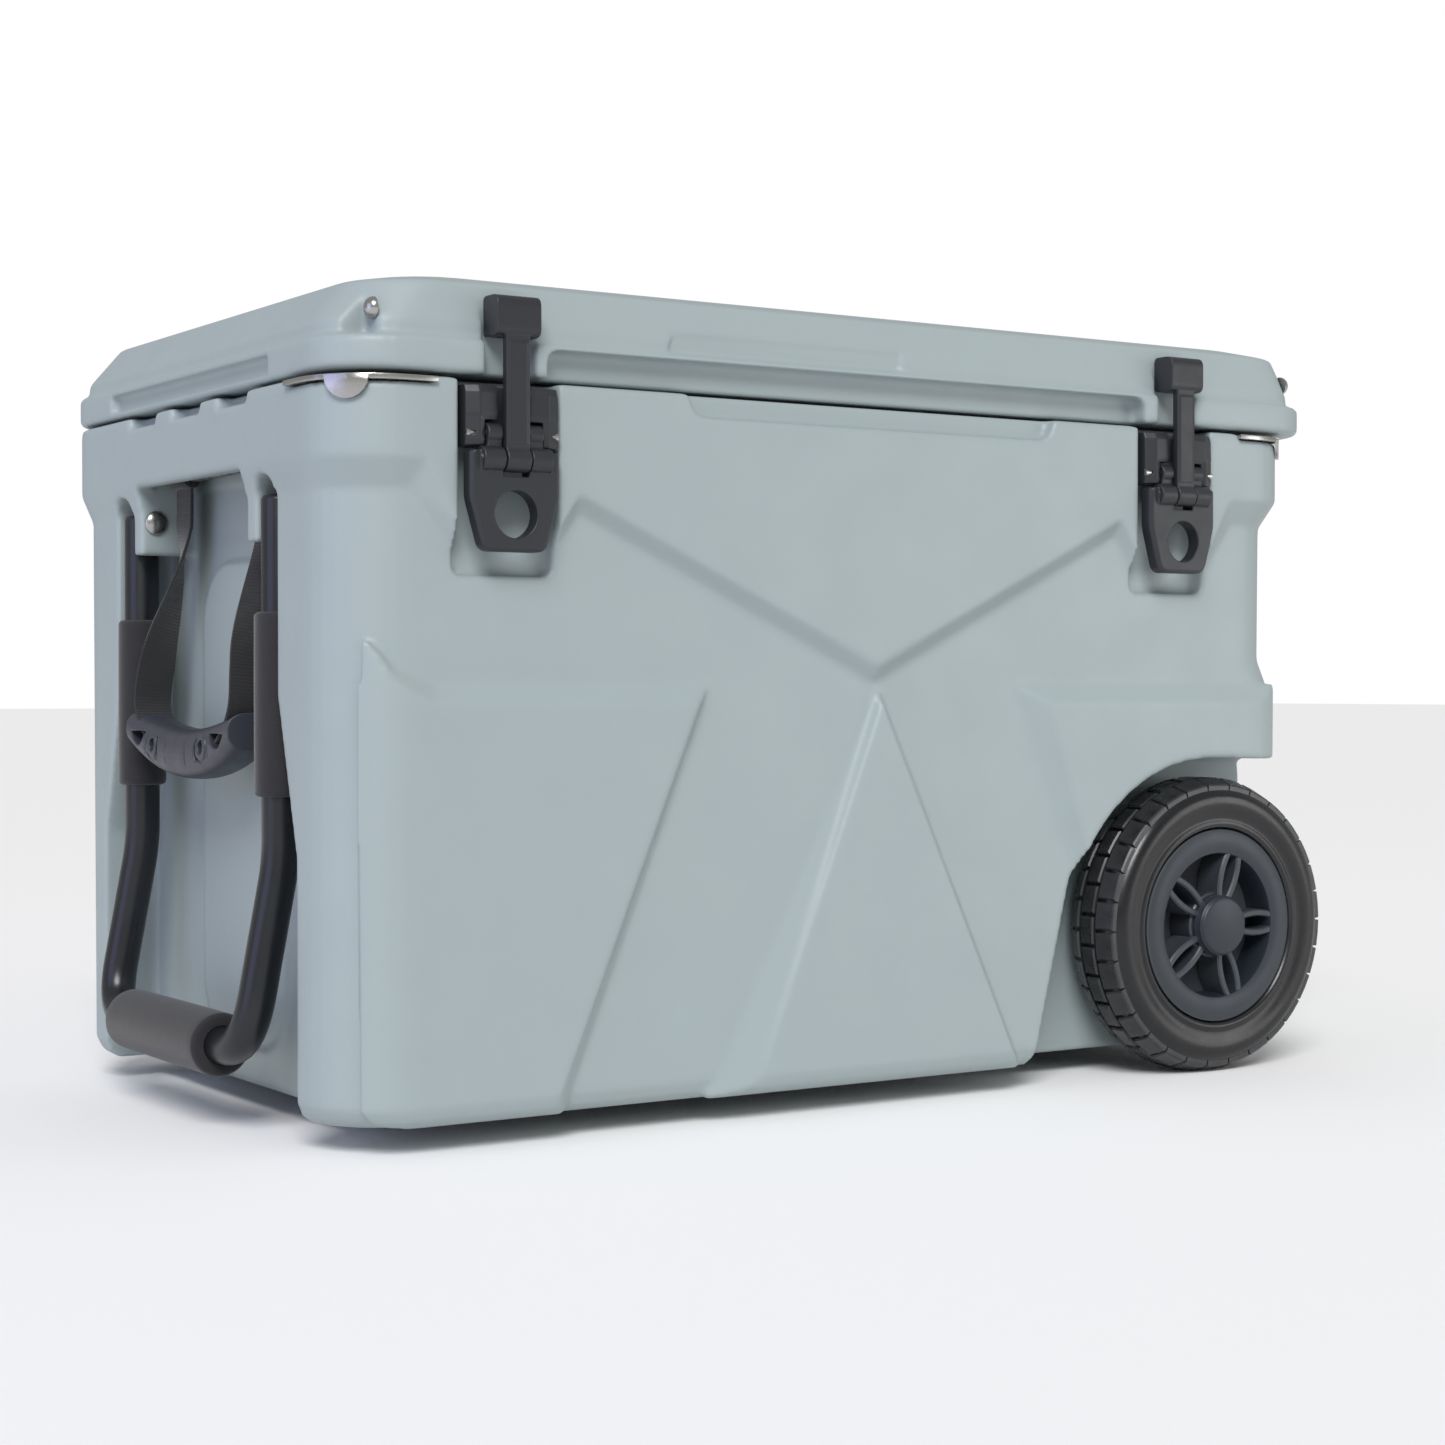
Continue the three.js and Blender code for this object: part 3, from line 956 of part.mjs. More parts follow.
function buildWheels() {
  const [inner, outer] = [WHEEL_INNER, RIM_SIDE];
  const seat = RIM_RADIUS + 1.5;
  const tyre = turnedY([
    [seat, inner + 3], [seat + 8, inner], [WHEEL_RADIUS - 12, inner + 1], [WHEEL_RADIUS - 3, inner + 6],
    [WHEEL_RADIUS, inner + 12], [WHEEL_RADIUS, outer - 12], [WHEEL_RADIUS - 3, outer - 6],
    [WHEEL_RADIUS - 12, outer - 1], [seat + 8, outer], [seat, outer - 3],
  ], 40);
  const ring = turnedY([[SPOKE_RADIUS, inner + 8], [seat - GAP, inner + 4], [seat - GAP, outer - 4],
    [SPOKE_RADIUS + 2, outer - 2], [SPOKE_RADIUS, outer - 5]], 30);
  const boss = turnedY([[BUSH_RADIUS + GAP, inner - 2], [BOSS_RADIUS, inner - 2], [BOSS_RADIUS, outer - 8],
    [BUSH_RADIUS + GAP, outer - 8]], 18);
  const turned = (solid, degrees) => solid.rotate([0, degrees, 0]);
  const bar = (offset) => (
    box(offset - SPOKE_HALF, offset + SPOKE_HALF, outer - 22, outer - 6, BOSS_RADIUS - 2, SPOKE_RADIUS + 3));
  const pair = join(bar(-SPOKE_OFFSET), bar(SPOKE_OFFSET));
  const spokes = Array.from({ length: SPOKES }, (_, i) => turned(pair, SPOKE_PHASE + i * 360 / SPOKES));
  const hub = join(ring, boss, ...spokes);
  const cap = join(
    rodY(outer - 6 + GAP, outer + 1, 0, 0, BOSS_RADIUS - 0.5, 20),
    rodY(outer, outer + 3, 0, 0, BOSS_RADIUS - 4, 20),
  );
  const capHollow = rodY(outer - 8, outer - 3, 0, 0, BUSH_RADIUS + 3);
  const axle = rodY(AXLE_END, outer - 5, 0, 0, AXLE_RADIUS);
  const axleBore = rodY(inner - 3, outer, 0, 0, AXLE_RADIUS + GAP);
  const bush = cut(rodY(inner - 2, outer - 10, 0, 0, BUSH_RADIUS), axleBore);
  const nut = cut(rodY(outer - 9, outer - 6, 0, 0, AXLE_RADIUS + 3.5), axleBore);
  const washer = cut(
    rodY(WELL_INNER + GAP, WELL_INNER + 2.5, 0, 0, 14),
    rodY(WELL_INNER, WELL_INNER + 4, 0, 0, AXLE_RADIUS + GAP),
  );
  for (const [name, front] of [['front', true], ['rear', false]]) {
    const facing = (solid) => (front ? solid.mirror([0, 1, 0]) : solid);
    const place = [WHEEL_X, 0, WHEEL_RADIUS];
    piece(`tyre_${name}`, facing(tyre), RUBBER, place);
    piece(`wheel_hub_${name}`, facing(hub), HUB_PLASTIC, place);
    piece(`hub_cap_${name}`, facing(cut(cap, capHollow)), HUB_PLASTIC, place);
    piece(`wheel_bush_${name}`, facing(bush), DARK_PLASTIC, place);
    piece(`axle_${name}`, facing(axle), STEEL, place);
    piece(`axle_nut_${name}`, facing(nut), STEEL, place);
    piece(`axle_washer_${name}`, facing(washer), STEEL, place);
  }
}

// ---------------------------------------------------------------- tow handle

/** A path of straight runs with rounded corners. */
function roundedPath(points, radii) {
  const path = new THREE.CurvePath();
  let from = points[0];
  points.slice(1, -1).forEach((corner, i) => {
    const before = corner.clone().sub(points[i]).normalize();
    const after = points[i + 2].clone().sub(corner).normalize();
    const reach = radii[i] * Math.tan(before.angleTo(after) / 2);
    const start = corner.clone().addScaledVector(before, -reach);
    const end = corner.clone().addScaledVector(after, reach);
    path.add(new THREE.LineCurve3(from, start));
    path.add(new THREE.QuadraticBezierCurve3(start, corner, end));
    from = end;
  });
  path.add(new THREE.LineCurve3(from, points.at(-1)));
  return path;
}

function buildTowHandle() {
  const barX = ARM_X - KICK_OUT;
  const bendZ = BOLT_Z - KICK_DROP;
  const corners = [[ARM_X, BOLT_Z], [ARM_X, bendZ], [barX, CROSS_BAR_HEIGHT]];
  const side = corners.map(([x, z]) => new THREE.Vector3(x, -ARM_Y, z));
  const points = [...side, ...side.map(({ x, y, z }) => new THREE.Vector3(x, -y, z)).reverse()];
  const path = roundedPath(points, [KICK_RADIUS, BEND_RADIUS, BEND_RADIUS, KICK_RADIUS]);
  const circle = new THREE.Shape().absarc(0, 0, TUBE_RADIUS, 0, 2 * Math.PI);
  const sweep = { extrudePath: path, steps: 46, curveSegments: 5, bevelEnabled: false };
  const tube = solidOf(new THREE.ExtrudeGeometry(circle, sweep));
  const ends = [-1, 1].map((way) => sphere(ARM_X, way * ARM_Y, BOLT_Z, TUBE_RADIUS - 0.05));
  const holes = [-ARM_Y, ARM_Y].map((y) => (
    rodY(y - 20, y + 20, ARM_X, BOLT_Z, BOLT_RADIUS + GAP)));
  piece('handle_tube', cut(join(tube, ...ends), ...holes), BLACK_TUBE);
  const gripTop = BOLT_Z - ARM_GRIP_TOP_DROP;
  const gripFoot = gripTop - ARM_GRIP_LENGTH;
  for (const [name, way] of [['front', -1], ['rear', 1]]) {
    const sleeve = cut(
      rodZ(gripFoot, gripTop, ARM_X, way * ARM_Y, ARM_GRIP_RADIUS),
      rodZ(gripFoot - 1, gripTop + 1, ARM_X, way * ARM_Y, TUBE_RADIUS + GAP, 16),
    );
    piece(`arm_grip_${name}`, sleeve, GRIP_FOAM);
  }
  const crossGrip = cut(
    rodY(-CROSS_GRIP_LENGTH / 2, CROSS_GRIP_LENGTH / 2, barX, CROSS_BAR_HEIGHT, CROSS_GRIP_RADIUS, 16),
    rodY(-CROSS_GRIP_LENGTH, CROSS_GRIP_LENGTH, barX, CROSS_BAR_HEIGHT, TUBE_RADIUS + GAP, 16),
  );
  piece('cross_grip', crossGrip, GRIP_FOAM);
}

// ---------------------------------------------------------------- carry handle

/** The webbing loop: broad along Y where it hangs on the rod, turned broad along X at the grip. */
function webbing(grow = 0, ends = true) {
  const gripX = WALL_LEFT + GRIP_FORWARD;
  const gripZ = RIM_TOP - GRIP_DROP;
  const half = [
    [ROD_X, WEB_SPREAD, ROD_Z],
    [ROD_X - 1, WEB_SPREAD + 3, ROD_Z - 50],
    [gripX + 3, GRIP_SPREAD - 2, gripZ + 60],
    [gripX, GRIP_SPREAD, gripZ + GRIP_RISE + 14],
    [gripX, GRIP_SPREAD - 18, gripZ + GRIP_RISE - 5],
    [gripX, GRIP_SPREAD / 2, gripZ + 2],
  ];
  const run = [
    ...half.map(([x, y, z]) => new THREE.Vector3(x, -y, z)),
    new THREE.Vector3(gripX, 0, gripZ),
    ...half.map(([x, y, z]) => new THREE.Vector3(x, y, z)).reverse(),
  ];
  const curve = new THREE.CatmullRomCurve3(run);
  const steps = 36;
  const rings = Array.from({ length: steps + 1 }, (_, i) => {
    const t = i / steps;
    const centre = curve.getPointAt(t);
    const along = curve.getTangentAt(t);
    const drop = THREE.MathUtils.clamp((ROD_Z - TWIST_START - centre.z) / TWIST_LENGTH, 0, 1);
    const twist = drop * Math.PI / 2;
    const broad = new THREE.Vector3(Math.sin(twist), t < 0.5 ? -Math.cos(twist) : Math.cos(twist), 0);
    broad.addScaledVector(along, -broad.dot(along)).normalize();
    const thick = new THREE.Vector3().crossVectors(along, broad).normalize();
    const [w, h] = [WEB_WIDTH / 2 + grow, WEB_THICK / 2 + grow];
    const way = t < 0.5 ? -1 : 1;
    return [[w, h], [-w, h], [-w, -h], [w, -h]].map(([a, b]) => (
      centre.clone().addScaledVector(broad, way * a).addScaledVector(thick, way * b)));
  });
  const ribbon = loft(rings, ['x', 'y']);
  if (!ends) return ribbon;
  const eyes = [-1, 1].map((way) => {
    const middle = way * WEB_SPREAD;
    return rodY(middle - WEB_WIDTH / 2, middle + WEB_WIDTH / 2, ROD_X, ROD_Z, EYE_RADIUS, 16);
  });
  return cut(join(ribbon, ...eyes), rodY(-LUG_INNER, LUG_INNER, ROD_X, ROD_Z, ROD_RADIUS + GAP));
}

function buildCarryHandle() {
  piece('carry_webbing', webbing(), WEBBING);
  const gripX = WALL_LEFT + GRIP_FORWARD;
  const gripZ = RIM_TOP - GRIP_DROP;
  const rings = Array.from({ length: 15 }, (_, i) => {
    const y = (i / 7 - 1) * GRIP_HALF;
    const rise = GRIP_RISE * (y / GRIP_HALF) ** 2;
    const fade = 1 - 0.25 * (y / GRIP_HALF) ** 4;
    return Array.from({ length: 16 }, (_unused, k) => {
      const angle = k * Math.PI / 8;
      return new THREE.Vector3(
        gripX + Math.cos(angle) * GRIP_SECTION / 2,
        y,
        gripZ + rise + Math.sin(angle) * fade * GRIP_SECTION / 2,
      );
    });
  });
  piece('carry_grip', cut(loft(rings, ['x', 'z']), webbing(0.9, false)), DARK_PLASTIC);
}

// ---------------------------------------------------------------- assembly

buildTub();
buildDrain();
buildLid();
for (const [side, x] of Object.entries(LATCHES)) buildLatch(side, x);
buildWheels();
buildTowHandle();
buildCarryHandle();

const cooler = new THREE.Group();
cooler.add(...meshes);
cooler.updateMatrixWorld(true);
const bounds = new THREE.Box3().setFromObject(cooler, true);
const centre = bounds.getCenter(new THREE.Vector3());
cooler.position.set(-centre.x, -centre.y, -bounds.min.z);

export default cooler;
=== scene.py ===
"""Looks of a wheeled hard cooler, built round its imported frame.

Classes hold their sizes in millimetres. Points become metres when a mesh is made, and every finished
object sits at the origin with its place in its mesh. +X is the wheel end, -Y the latch side, +Z up.
"""

import logging
import math
from collections.abc import Callable, Iterable, Sequence
from dataclasses import dataclass
from enum import Enum

import bmesh
import bpy
import numpy as np
from mathutils import Matrix, Vector


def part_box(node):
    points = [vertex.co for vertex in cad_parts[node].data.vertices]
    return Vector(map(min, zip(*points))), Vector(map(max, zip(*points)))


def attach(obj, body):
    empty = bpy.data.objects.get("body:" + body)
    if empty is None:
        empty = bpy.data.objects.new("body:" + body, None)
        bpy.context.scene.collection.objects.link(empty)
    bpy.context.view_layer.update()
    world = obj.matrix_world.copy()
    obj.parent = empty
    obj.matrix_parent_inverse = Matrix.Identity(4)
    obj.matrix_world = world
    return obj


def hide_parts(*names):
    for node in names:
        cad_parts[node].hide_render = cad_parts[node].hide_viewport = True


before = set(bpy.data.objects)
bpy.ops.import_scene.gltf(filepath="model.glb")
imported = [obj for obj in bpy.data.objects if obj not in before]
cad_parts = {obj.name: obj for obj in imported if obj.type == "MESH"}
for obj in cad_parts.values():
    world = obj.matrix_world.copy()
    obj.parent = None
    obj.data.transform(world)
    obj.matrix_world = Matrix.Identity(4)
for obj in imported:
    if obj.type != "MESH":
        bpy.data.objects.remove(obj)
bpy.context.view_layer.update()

MM = 0.001
LOG = logging.getLogger("cooler")

Point = tuple[float, float, float]
Piece = bpy.types.Object


# ------------------------------------------------------------------ finishes

class Grain(Enum):
    """How a surface was made, which sets the pattern of its fine relief."""

    ORANGE_PEEL = "moulded or powder-coated skin"
    PORES = "cut closed-cell foam"
    BRUSHED = "drawn or brushed metal"
    WOVEN = "ribbed webbing"


@dataclass(frozen=True)
class Finish:
    """One real material and how it was made."""

    name: str
    colour: str
    second: str
    patch_mm: float
    rough: float
    rough_span: float
    grain: Grain
    grain_mm: float
    relief_mm: float
    metallic: float = 0.0
    ior: float = 1.5
    sheen: float = 0.0
    # Strength of a highlight painted onto convex edges, 0 for none.
    painted_edge_light: float = 0.0


# Rotomoulded polyethylene: satin, with a faint mottle and orange peel from the mould.
POLYETHYLENE = Finish("rotomoulded_polyethylene", "#99A5A6", "#949FA1", 45, 0.46, 0.08,
                      Grain.ORANGE_PEEL, 3.2, 0.03, painted_edge_light=0.25)
# Glass-filled nylon of the latches: dark slate, matt, with a fine spark-eroded grain.
LATCH_RUBBER = Finish("moulded_latch_rubber", "#26282C", "#222428", 14, 0.42, 0.07,
                      Grain.ORANGE_PEEL, 0.9, 0.02, painted_edge_light=0.5)
# Polypropylene of the hubs: blue-black, satin.
POLYPROPYLENE = Finish("moulded_polypropylene", "#232931", "#1F252C", 20, 0.42, 0.06,
                       Grain.ORANGE_PEEL, 1.1, 0.02, painted_edge_light=0.5)
# Grey nylon of the carry grip and drain: a shade lighter than the latches.
NYLON = Finish("moulded_grey_nylon", "#363842", "#31333C", 12, 0.42, 0.08,
               Grain.ORANGE_PEEL, 1.0, 0.02, painted_edge_light=0.4)
# Blow-moulded tyre: near black and fairly glossy, so it takes long soft highlights.
TYRE_RUBBER = Finish("moulded_tyre_rubber", "#0C0D0F", "#111215", 30, 0.27, 0.1,
                     Grain.ORANGE_PEEL, 1.6, 0.03, painted_edge_light=0.3)
# Soft rubber of feet, gaskets and seals.
SEAL_RUBBER = Finish("moulded_seal_rubber", "#1B1B1D", "#202023", 15, 0.6, 0.1,
                     Grain.ORANGE_PEEL, 0.8, 0.02)
# Closed-cell foam sleeves: dull black with open pores where the skin was cut.
GRIP_FOAM = Finish("closed_cell_foam", "#19191C", "#1F1F22", 9, 0.86, 0.08,
                   Grain.PORES, 0.9, 0.16, sheen=0.25)
# Ribbed polyester webbing: black, with threads across the band.
WEBBING = Finish("ribbed_polyester_webbing", "#0E0F10", "#17181A", 6, 0.8, 0.1,
                 Grain.WOVEN, 1.1, 0.1, sheen=0.35)
# Stainless steel, lightly brushed.
STEEL = Finish("brushed_stainless_steel", "#B9B8B4", "#A5A4A0", 12, 0.27, 0.1,
               Grain.BRUSHED, 0.5, 0.008, metallic=1.0)
# Powder-coated aluminium tube: black, semi-gloss, with a fine orange peel.
POWDER_COAT = Finish("black_powder_coat", "#141619", "#191B1F", 25, 0.3, 0.06,
                     Grain.ORANGE_PEEL, 1.3, 0.025, painted_edge_light=0.2)


def linear_rgb(code: str) -> tuple[float, float, float, float]:
    """Turn an sRGB hex colour into linear values.

    Args:
        code: the colour, as "#RRGGBB".

    Returns:
        Red, green, blue and an alpha of 1.
    """
    parts = [int(code[i:i + 2], 16) / 255 for i in (1, 3, 5)]
    low_end = 0.04045
    values = [p / 12.92 if p <= low_end else ((p + 0.055) / 1.055) ** 2.4 for p in parts]
    return values[0], values[1], values[2], 1.0


def add_node(
    tree: bpy.types.NodeTree,
    kind: str,
    inputs: dict[str | int, object] | None = None,
    **settings: object,
) -> bpy.types.Node:
    """Add one node to a tree, with its settings and links.

    Args:
        tree: the tree it joins.
        kind: the node's type name.
        inputs: socket name or number to a value, or to the output socket that feeds it.
        settings: properties of the node itself.

    Returns:
        The new node.
    """
    made = tree.nodes.new(kind)
    for key, value in settings.items():
        setattr(made, key, value)
    for key, value in (inputs or {}).items():
        if isinstance(value, bpy.types.NodeSocket):
            tree.links.new(value, made.inputs[key])
        else:
            made.inputs[key].default_value = value
    return made


def build_material(finish: Finish) -> bpy.types.Material:
    """Make a finish's node material on Object coordinates, or return it if it exists.

    Args:
        finish: the real material.

    Returns:
        The Blender material.
    """
    known = bpy.data.materials.get(finish.name)
    if known:
        return known
    material = bpy.data.materials.new(finish.name)
    material.use_nodes = True
    tree = material.node_tree
    tree.nodes.clear()
    place = add_node(tree, "ShaderNodeTexCoord").outputs["Object"]
    patches = add_node(tree, "ShaderNodeTexNoise", {
        "Vector": place, "Scale": 1 / (finish.patch_mm * MM), "Detail": 3.0, "Roughness": 0.55})
    height = relief_pattern(tree, finish, place)
    colours = add_node(tree, "ShaderNodeMix", {0: patches.outputs["Fac"]}, data_type="RGBA")
    colours.inputs[6].default_value = linear_rgb(finish.colour)
    colours.inputs[7].default_value = linear_rgb(finish.second)
    tint = colours.outputs[2]
    # Painted highlight: convex edges are lightened in the colour itself.
    if finish.painted_edge_light:
        tint = paint_edge_highlight(tree, tint, finish.painted_edge_light)
    rough = add_node(tree, "ShaderNodeMapRange", {
        "Value": patches.outputs["Fac"], "From Min": 0.3, "From Max": 0.7,
        "To Min": finish.rough - finish.rough_span / 2, "To Max": finish.rough + finish.rough_span / 2})
    bump = add_node(tree, "ShaderNodeBump", {
        "Height": height, "Strength": 1.0, "Distance": finish.relief_mm * MM})
    shader = add_node(tree, "ShaderNodeBsdfPrincipled", {
        "Base Color": tint, "Roughness": rough.outputs["Result"], "Metallic": finish.metallic,
        "IOR": finish.ior, "Sheen Weight": finish.sheen, "Normal": bump.outputs["Normal"]})
    add_node(tree, "ShaderNodeOutputMaterial", {"Surface": shader.outputs["BSDF"]})
    return material


def relief_pattern(
    tree: bpy.types.NodeTree, finish: Finish, place: bpy.types.NodeSocket
) -> bpy.types.NodeSocket:
    """The height pattern of a finish's fine relief.

    Args:
        tree: the material's tree.
        finish: the real material.
        place: Object coordinates.

    Returns:
        The output socket that carries the height, from 0 to 1.
    """
    scale = 1 / (finish.grain_mm * MM)
    if finish.grain is Grain.PORES:
        cells = add_node(tree, "ShaderNodeTexVoronoi", {"Vector": place, "Scale": scale})
        return cells.outputs["Distance"]
    if finish.grain is Grain.BRUSHED:
        drawn = add_node(tree, "ShaderNodeMapping", {"Vector": place, "Scale": (0.04, 1.0, 1.0)})
        lines = add_node(tree, "ShaderNodeTexNoise", {"Vector": drawn.outputs["Vector"], "Scale": scale})
        return lines.outputs["Fac"]
    if finish.grain is Grain.WOVEN:
        threads = add_node(tree, "ShaderNodeTexWave", {
            "Vector": place, "Scale": scale / math.pi, "Distortion": 0.6, "Detail": 1.0},
            wave_type="BANDS", bands_direction="DIAGONAL")
        return threads.outputs["Fac"]
    peel = add_node(tree, "ShaderNodeTexNoise", {"Vector": place, "Scale": scale, "Detail": 2.0})
    return peel.outputs["Fac"]


def paint_edge_highlight(
    tree: bpy.types.NodeTree, tint: bpy.types.NodeSocket, amount: float
) -> bpy.types.NodeSocket:
    """Paint a highlight on a moulding's convex edges by lightening its colour where the surface is pointy.

    Args:
        tree: the material's tree.
        tint: the colour away from edges.
        amount: how strong the painted edge highlight is, from 0 to 1.

    Returns:
        The output socket with the painted edge highlight.
    """
    pointed = add_node(tree, "ShaderNodeNewGeometry").outputs["Pointiness"]
    edges = add_node(tree, "ShaderNodeMapRange", {
        "Value": pointed, "From Min": 0.53, "From Max": 0.64, "To Min": 0.0, "To Max": amount})
    highlighted = add_node(tree, "ShaderNodeMix", {0: edges.outputs["Result"], 6: tint}, data_type="RGBA",
                    blend_type="SCREEN")
    # The light colour screened onto pointy edges as a painted highlight.
    highlighted.inputs[7].default_value = (0.10, 0.105, 0.11, 1.0)
    return highlighted.outputs[2]


# ------------------------------------------------------------------ mesh tools

@dataclass(frozen=True)
class Span:
    """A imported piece's box, in millimetres."""

    low: Vector
    high: Vector

    @property
    def centre(self) -> Vector:
        """Its middle."""
        return (self.low + self.high) / 2


def span(node: str) -> Span:
    """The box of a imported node.

    Args:
        node: the node's name.

    Returns:
        Its lowest and highest corner, in millimetres.
    """
    low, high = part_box(node)
    return Span(low / MM, high / MM)


def make_object(name: str, points: Sequence[Point], faces: Sequence[Sequence[int]]) -> Piece:
    """Make a closed mesh object from points in millimetres, with its faces outwards.

    Args:
        name: the object's name.
        points: corner points.
        faces: corner numbers of each face.

    Returns:
        The new object.
    """
    mesh = bpy.data.meshes.new(name)
    mesh.from_pydata([tuple(c * MM for c in p) for p in points], [], [list(f) for f in faces])
    shape = bmesh.new()
    shape.from_mesh(mesh)
    bmesh.ops.remove_doubles(shape, verts=shape.verts, dist=1e-6)
    bmesh.ops.dissolve_degenerate(shape, edges=shape.edges, dist=1e-6)
    bmesh.ops.recalc_face_normals(shape, faces=shape.faces)
    shape.to_mesh(mesh)
    shape.free()
    made = bpy.data.objects.new(name, mesh)
    bpy.context.scene.collection.objects.link(made)
    return made


def shade(piece: Piece, sharp_degrees: float = 40.0) -> Piece:
    """Shade a mesh smooth, apart from edges sharper than an angle."""
    piece.data.shade_smooth()
    piece.data.set_sharp_from_angle(angle=math.radians(sharp_degrees))
    return piece


def bake(piece: Piece) -> Piece:
    """Turn a piece's modifiers into its mesh.

    Args:
        piece: the object; its modifiers are removed.

    Returns:
        The same object.
    """
    graph = bpy.context.evaluated_depsgraph_get()
    mesh = bpy.data.meshes.new_from_object(piece.evaluated_get(graph))
    mesh.name = piece.name
    piece.modifiers.clear()
    piece.data = mesh
    return piece


def remove(piece: Piece) -> None:
    """Delete an object that was only used to make another."""
    bpy.data.objects.remove(piece)


def join(name: str, pieces: Sequence[Piece]) -> Piece:
    """Put several meshes into one object.

    Args:
        name: name of the result.
        pieces: the objects, which are used up.

    Returns:
        The joined object.
    """
    shape = bmesh.new()
    for piece in pieces:
        shape.from_mesh(piece.data)
    mesh = bpy.data.meshes.new(name)
    shape.to_mesh(mesh)
    shape.free()
    for piece in pieces:
        remove(piece)
    made = bpy.data.objects.new(name, mesh)
    bpy.context.scene.collection.objects.link(made)
    return made


def loft(name: str, rings: Sequence[Sequence[Point]], closed: bool = False) -> Piece:
    """Skin rings that have the same number of points.

    Args:
        name: the object's name.
        rings: the sections in order, each a closed loop of points.
        closed: joins the last section to the first in place of closing both ends.

    Returns:
        A closed mesh.
    """
    count = len(rings[0])
    points = [p for ring in rings for p in ring]
    faces: list[list[int]] = []
    steps = len(rings) if closed else len(rings) - 1
    for r in range(steps):
        near, far = r * count, (r + 1) % len(rings) * count
        for i in range(count):
            j = (i + 1) % count
            faces.append([near + i, near + j, far + j, far + i])
    if not closed:
        faces.append(list(range(count)))
        faces.append(list(range(len(points) - count, len(points))))
    return make_object(name, points, faces)


def revolve(name: str, profile: Sequence[tuple[float, float]], centre: Vector, sides: int = 96) -> Piece:
    """Turn a closed profile about an axis along Y.

    Args:
        name: the object's name.
        profile: (radius, distance along Y) points of the closed section.
        centre: a point on the axis.
        sides: steps round the axis.

    Returns:
        A closed mesh.
    """
    rings = []
    for step in range(sides):
        angle = 2 * math.pi * step / sides
        rings.append([(centre.x + r * math.cos(angle), centre.y + y, centre.z + r * math.sin(angle))
                      for r, y in profile])
    return loft(name, rings, closed=True)


def block(name: str, x: tuple[float, float], y: tuple[float, float], z: tuple[float, float]) -> Piece:
    """A box between two corners, used as stock for a shaped piece."""
    ring = [(x[0], y[0]), (x[1], y[0]), (x[1], y[1]), (x[0], y[1])]
    return loft(name, [[(a, b, height) for a, b in ring] for height in z])


def full_turn(steps: int) -> list[float]:
    """The angles of a whole turn in equal steps, in radians."""
    return [2 * math.pi * step / steps for step in range(steps)]


def rod_x(name: str, x: tuple[float, float], y: float, z: float, radius: float, sides: int = 32) -> Piece:
    """A round rod along X, used as stock or as a cutter."""
    turn = full_turn(sides)
    return loft(name, [[(a, y + radius * math.cos(t), z + radius * math.sin(t)) for t in turn] for a in x])


def rod_y(name: str, y: tuple[float, float], x: float, z: float, radius: float, sides: int = 48) -> Piece:
    """A round rod along Y, used as stock or as a cutter."""
    turn = full_turn(sides)
    return loft(name, [[(x + radius * math.cos(t), a, z + radius * math.sin(t)) for t in turn] for a in y])


def rounded_outline(
    corners: Sequence[tuple[float, float]], radii: Sequence[float], steps: int = 6
) -> list[tuple[float, float]]:
    """Round the corners of a 2-D outline.

    Args:
        corners: the sharp outline.
        radii: one radius for each corner.
        steps: points in each rounded corner.

    Returns:
        The rounded outline.
    """
    points = []
    for i, (corner, radius) in enumerate(zip(corners, radii)):
        here, last = Vector(corner), Vector(corners[i - 1])
        following = Vector(corners[(i + 1) % len(corners)])
        back, on = (last - here).normalized(), (following - here).normalized()
        half = back.angle(on) / 2
        reach = min(radius / math.tan(half), (last - here).length / 2, (following - here).length / 2)
        start, end = here + back * reach, here + on * reach
        for step in range(steps + 1):
            t = step / steps
            point = start * (1 - t) ** 2 + here * 2 * t * (1 - t) + end * t ** 2
            points.append((point.x, point.y))
    return points


def carve(base: Piece, joined: Iterable[Piece] = (), cutters: Iterable[Piece] = ()) -> Piece:
    """Join solids to a base and then cut others out of it.

    Args:
        base: the solid that is changed.
        joined: solids added to it.
        cutters: solids taken away.

    Returns:
        The base.
    """
    for operation, tools in (("UNION", joined), ("DIFFERENCE", cutters)):
        for tool in tools:
            cut = base.modifiers.new("cut", "BOOLEAN")
            cut.operation = operation
            cut.object = tool
            cut.solver = "EXACT"
            bake(base)
            remove(tool)
    return base


def soften(piece: Piece, voxel_mm: float, passes: int, faces: int) -> Piece:
    """Round a sharp solid the way a mould does: rebuild it in small voxels, relax it and thin it out.

    Args:
        piece: the sharp solid.
        voxel_mm: size of the voxels.
        passes: rounds of relaxing, which set how soft the edges get.
        faces: about how many triangles to keep.

    Returns:
        The same object.
    """
    rebuilt = piece.modifiers.new("voxels", "REMESH")
    rebuilt.mode = "VOXEL"
    rebuilt.voxel_size = voxel_mm * MM
    relaxed = piece.modifiers.new("relax", "SMOOTH")
    relaxed.factor = 0.5
    relaxed.iterations = passes
    bake(piece)
    triangles = 2 * len(piece.data.polygons)
    if triangles > faces:
        thinned = piece.modifiers.new("thin", "DECIMATE")
        thinned.ratio = faces / triangles
        bake(piece)
    piece.data.shade_smooth()
    return piece


def eased(piece: Piece, width_mm: float, steps: int = 2, angle: float = 30.0) -> Piece:
    """Break the edges of a solid with a small bevel.

    Args:
        piece: the sharp solid.
        width_mm: width of the bevel.
        steps: faces across it.
        angle: edges flatter than this, in degrees, stay.

    Returns:
        The same object, shaded.
    """
    bevel = piece.modifiers.new("edge", "BEVEL")
    bevel.width = width_mm * MM
    bevel.segments = steps
    bevel.limit_method = "ANGLE"
    bevel.angle_limit = math.radians(angle)
    bevel.harden_normals = False
    return shade(bake(piece), 50.0)


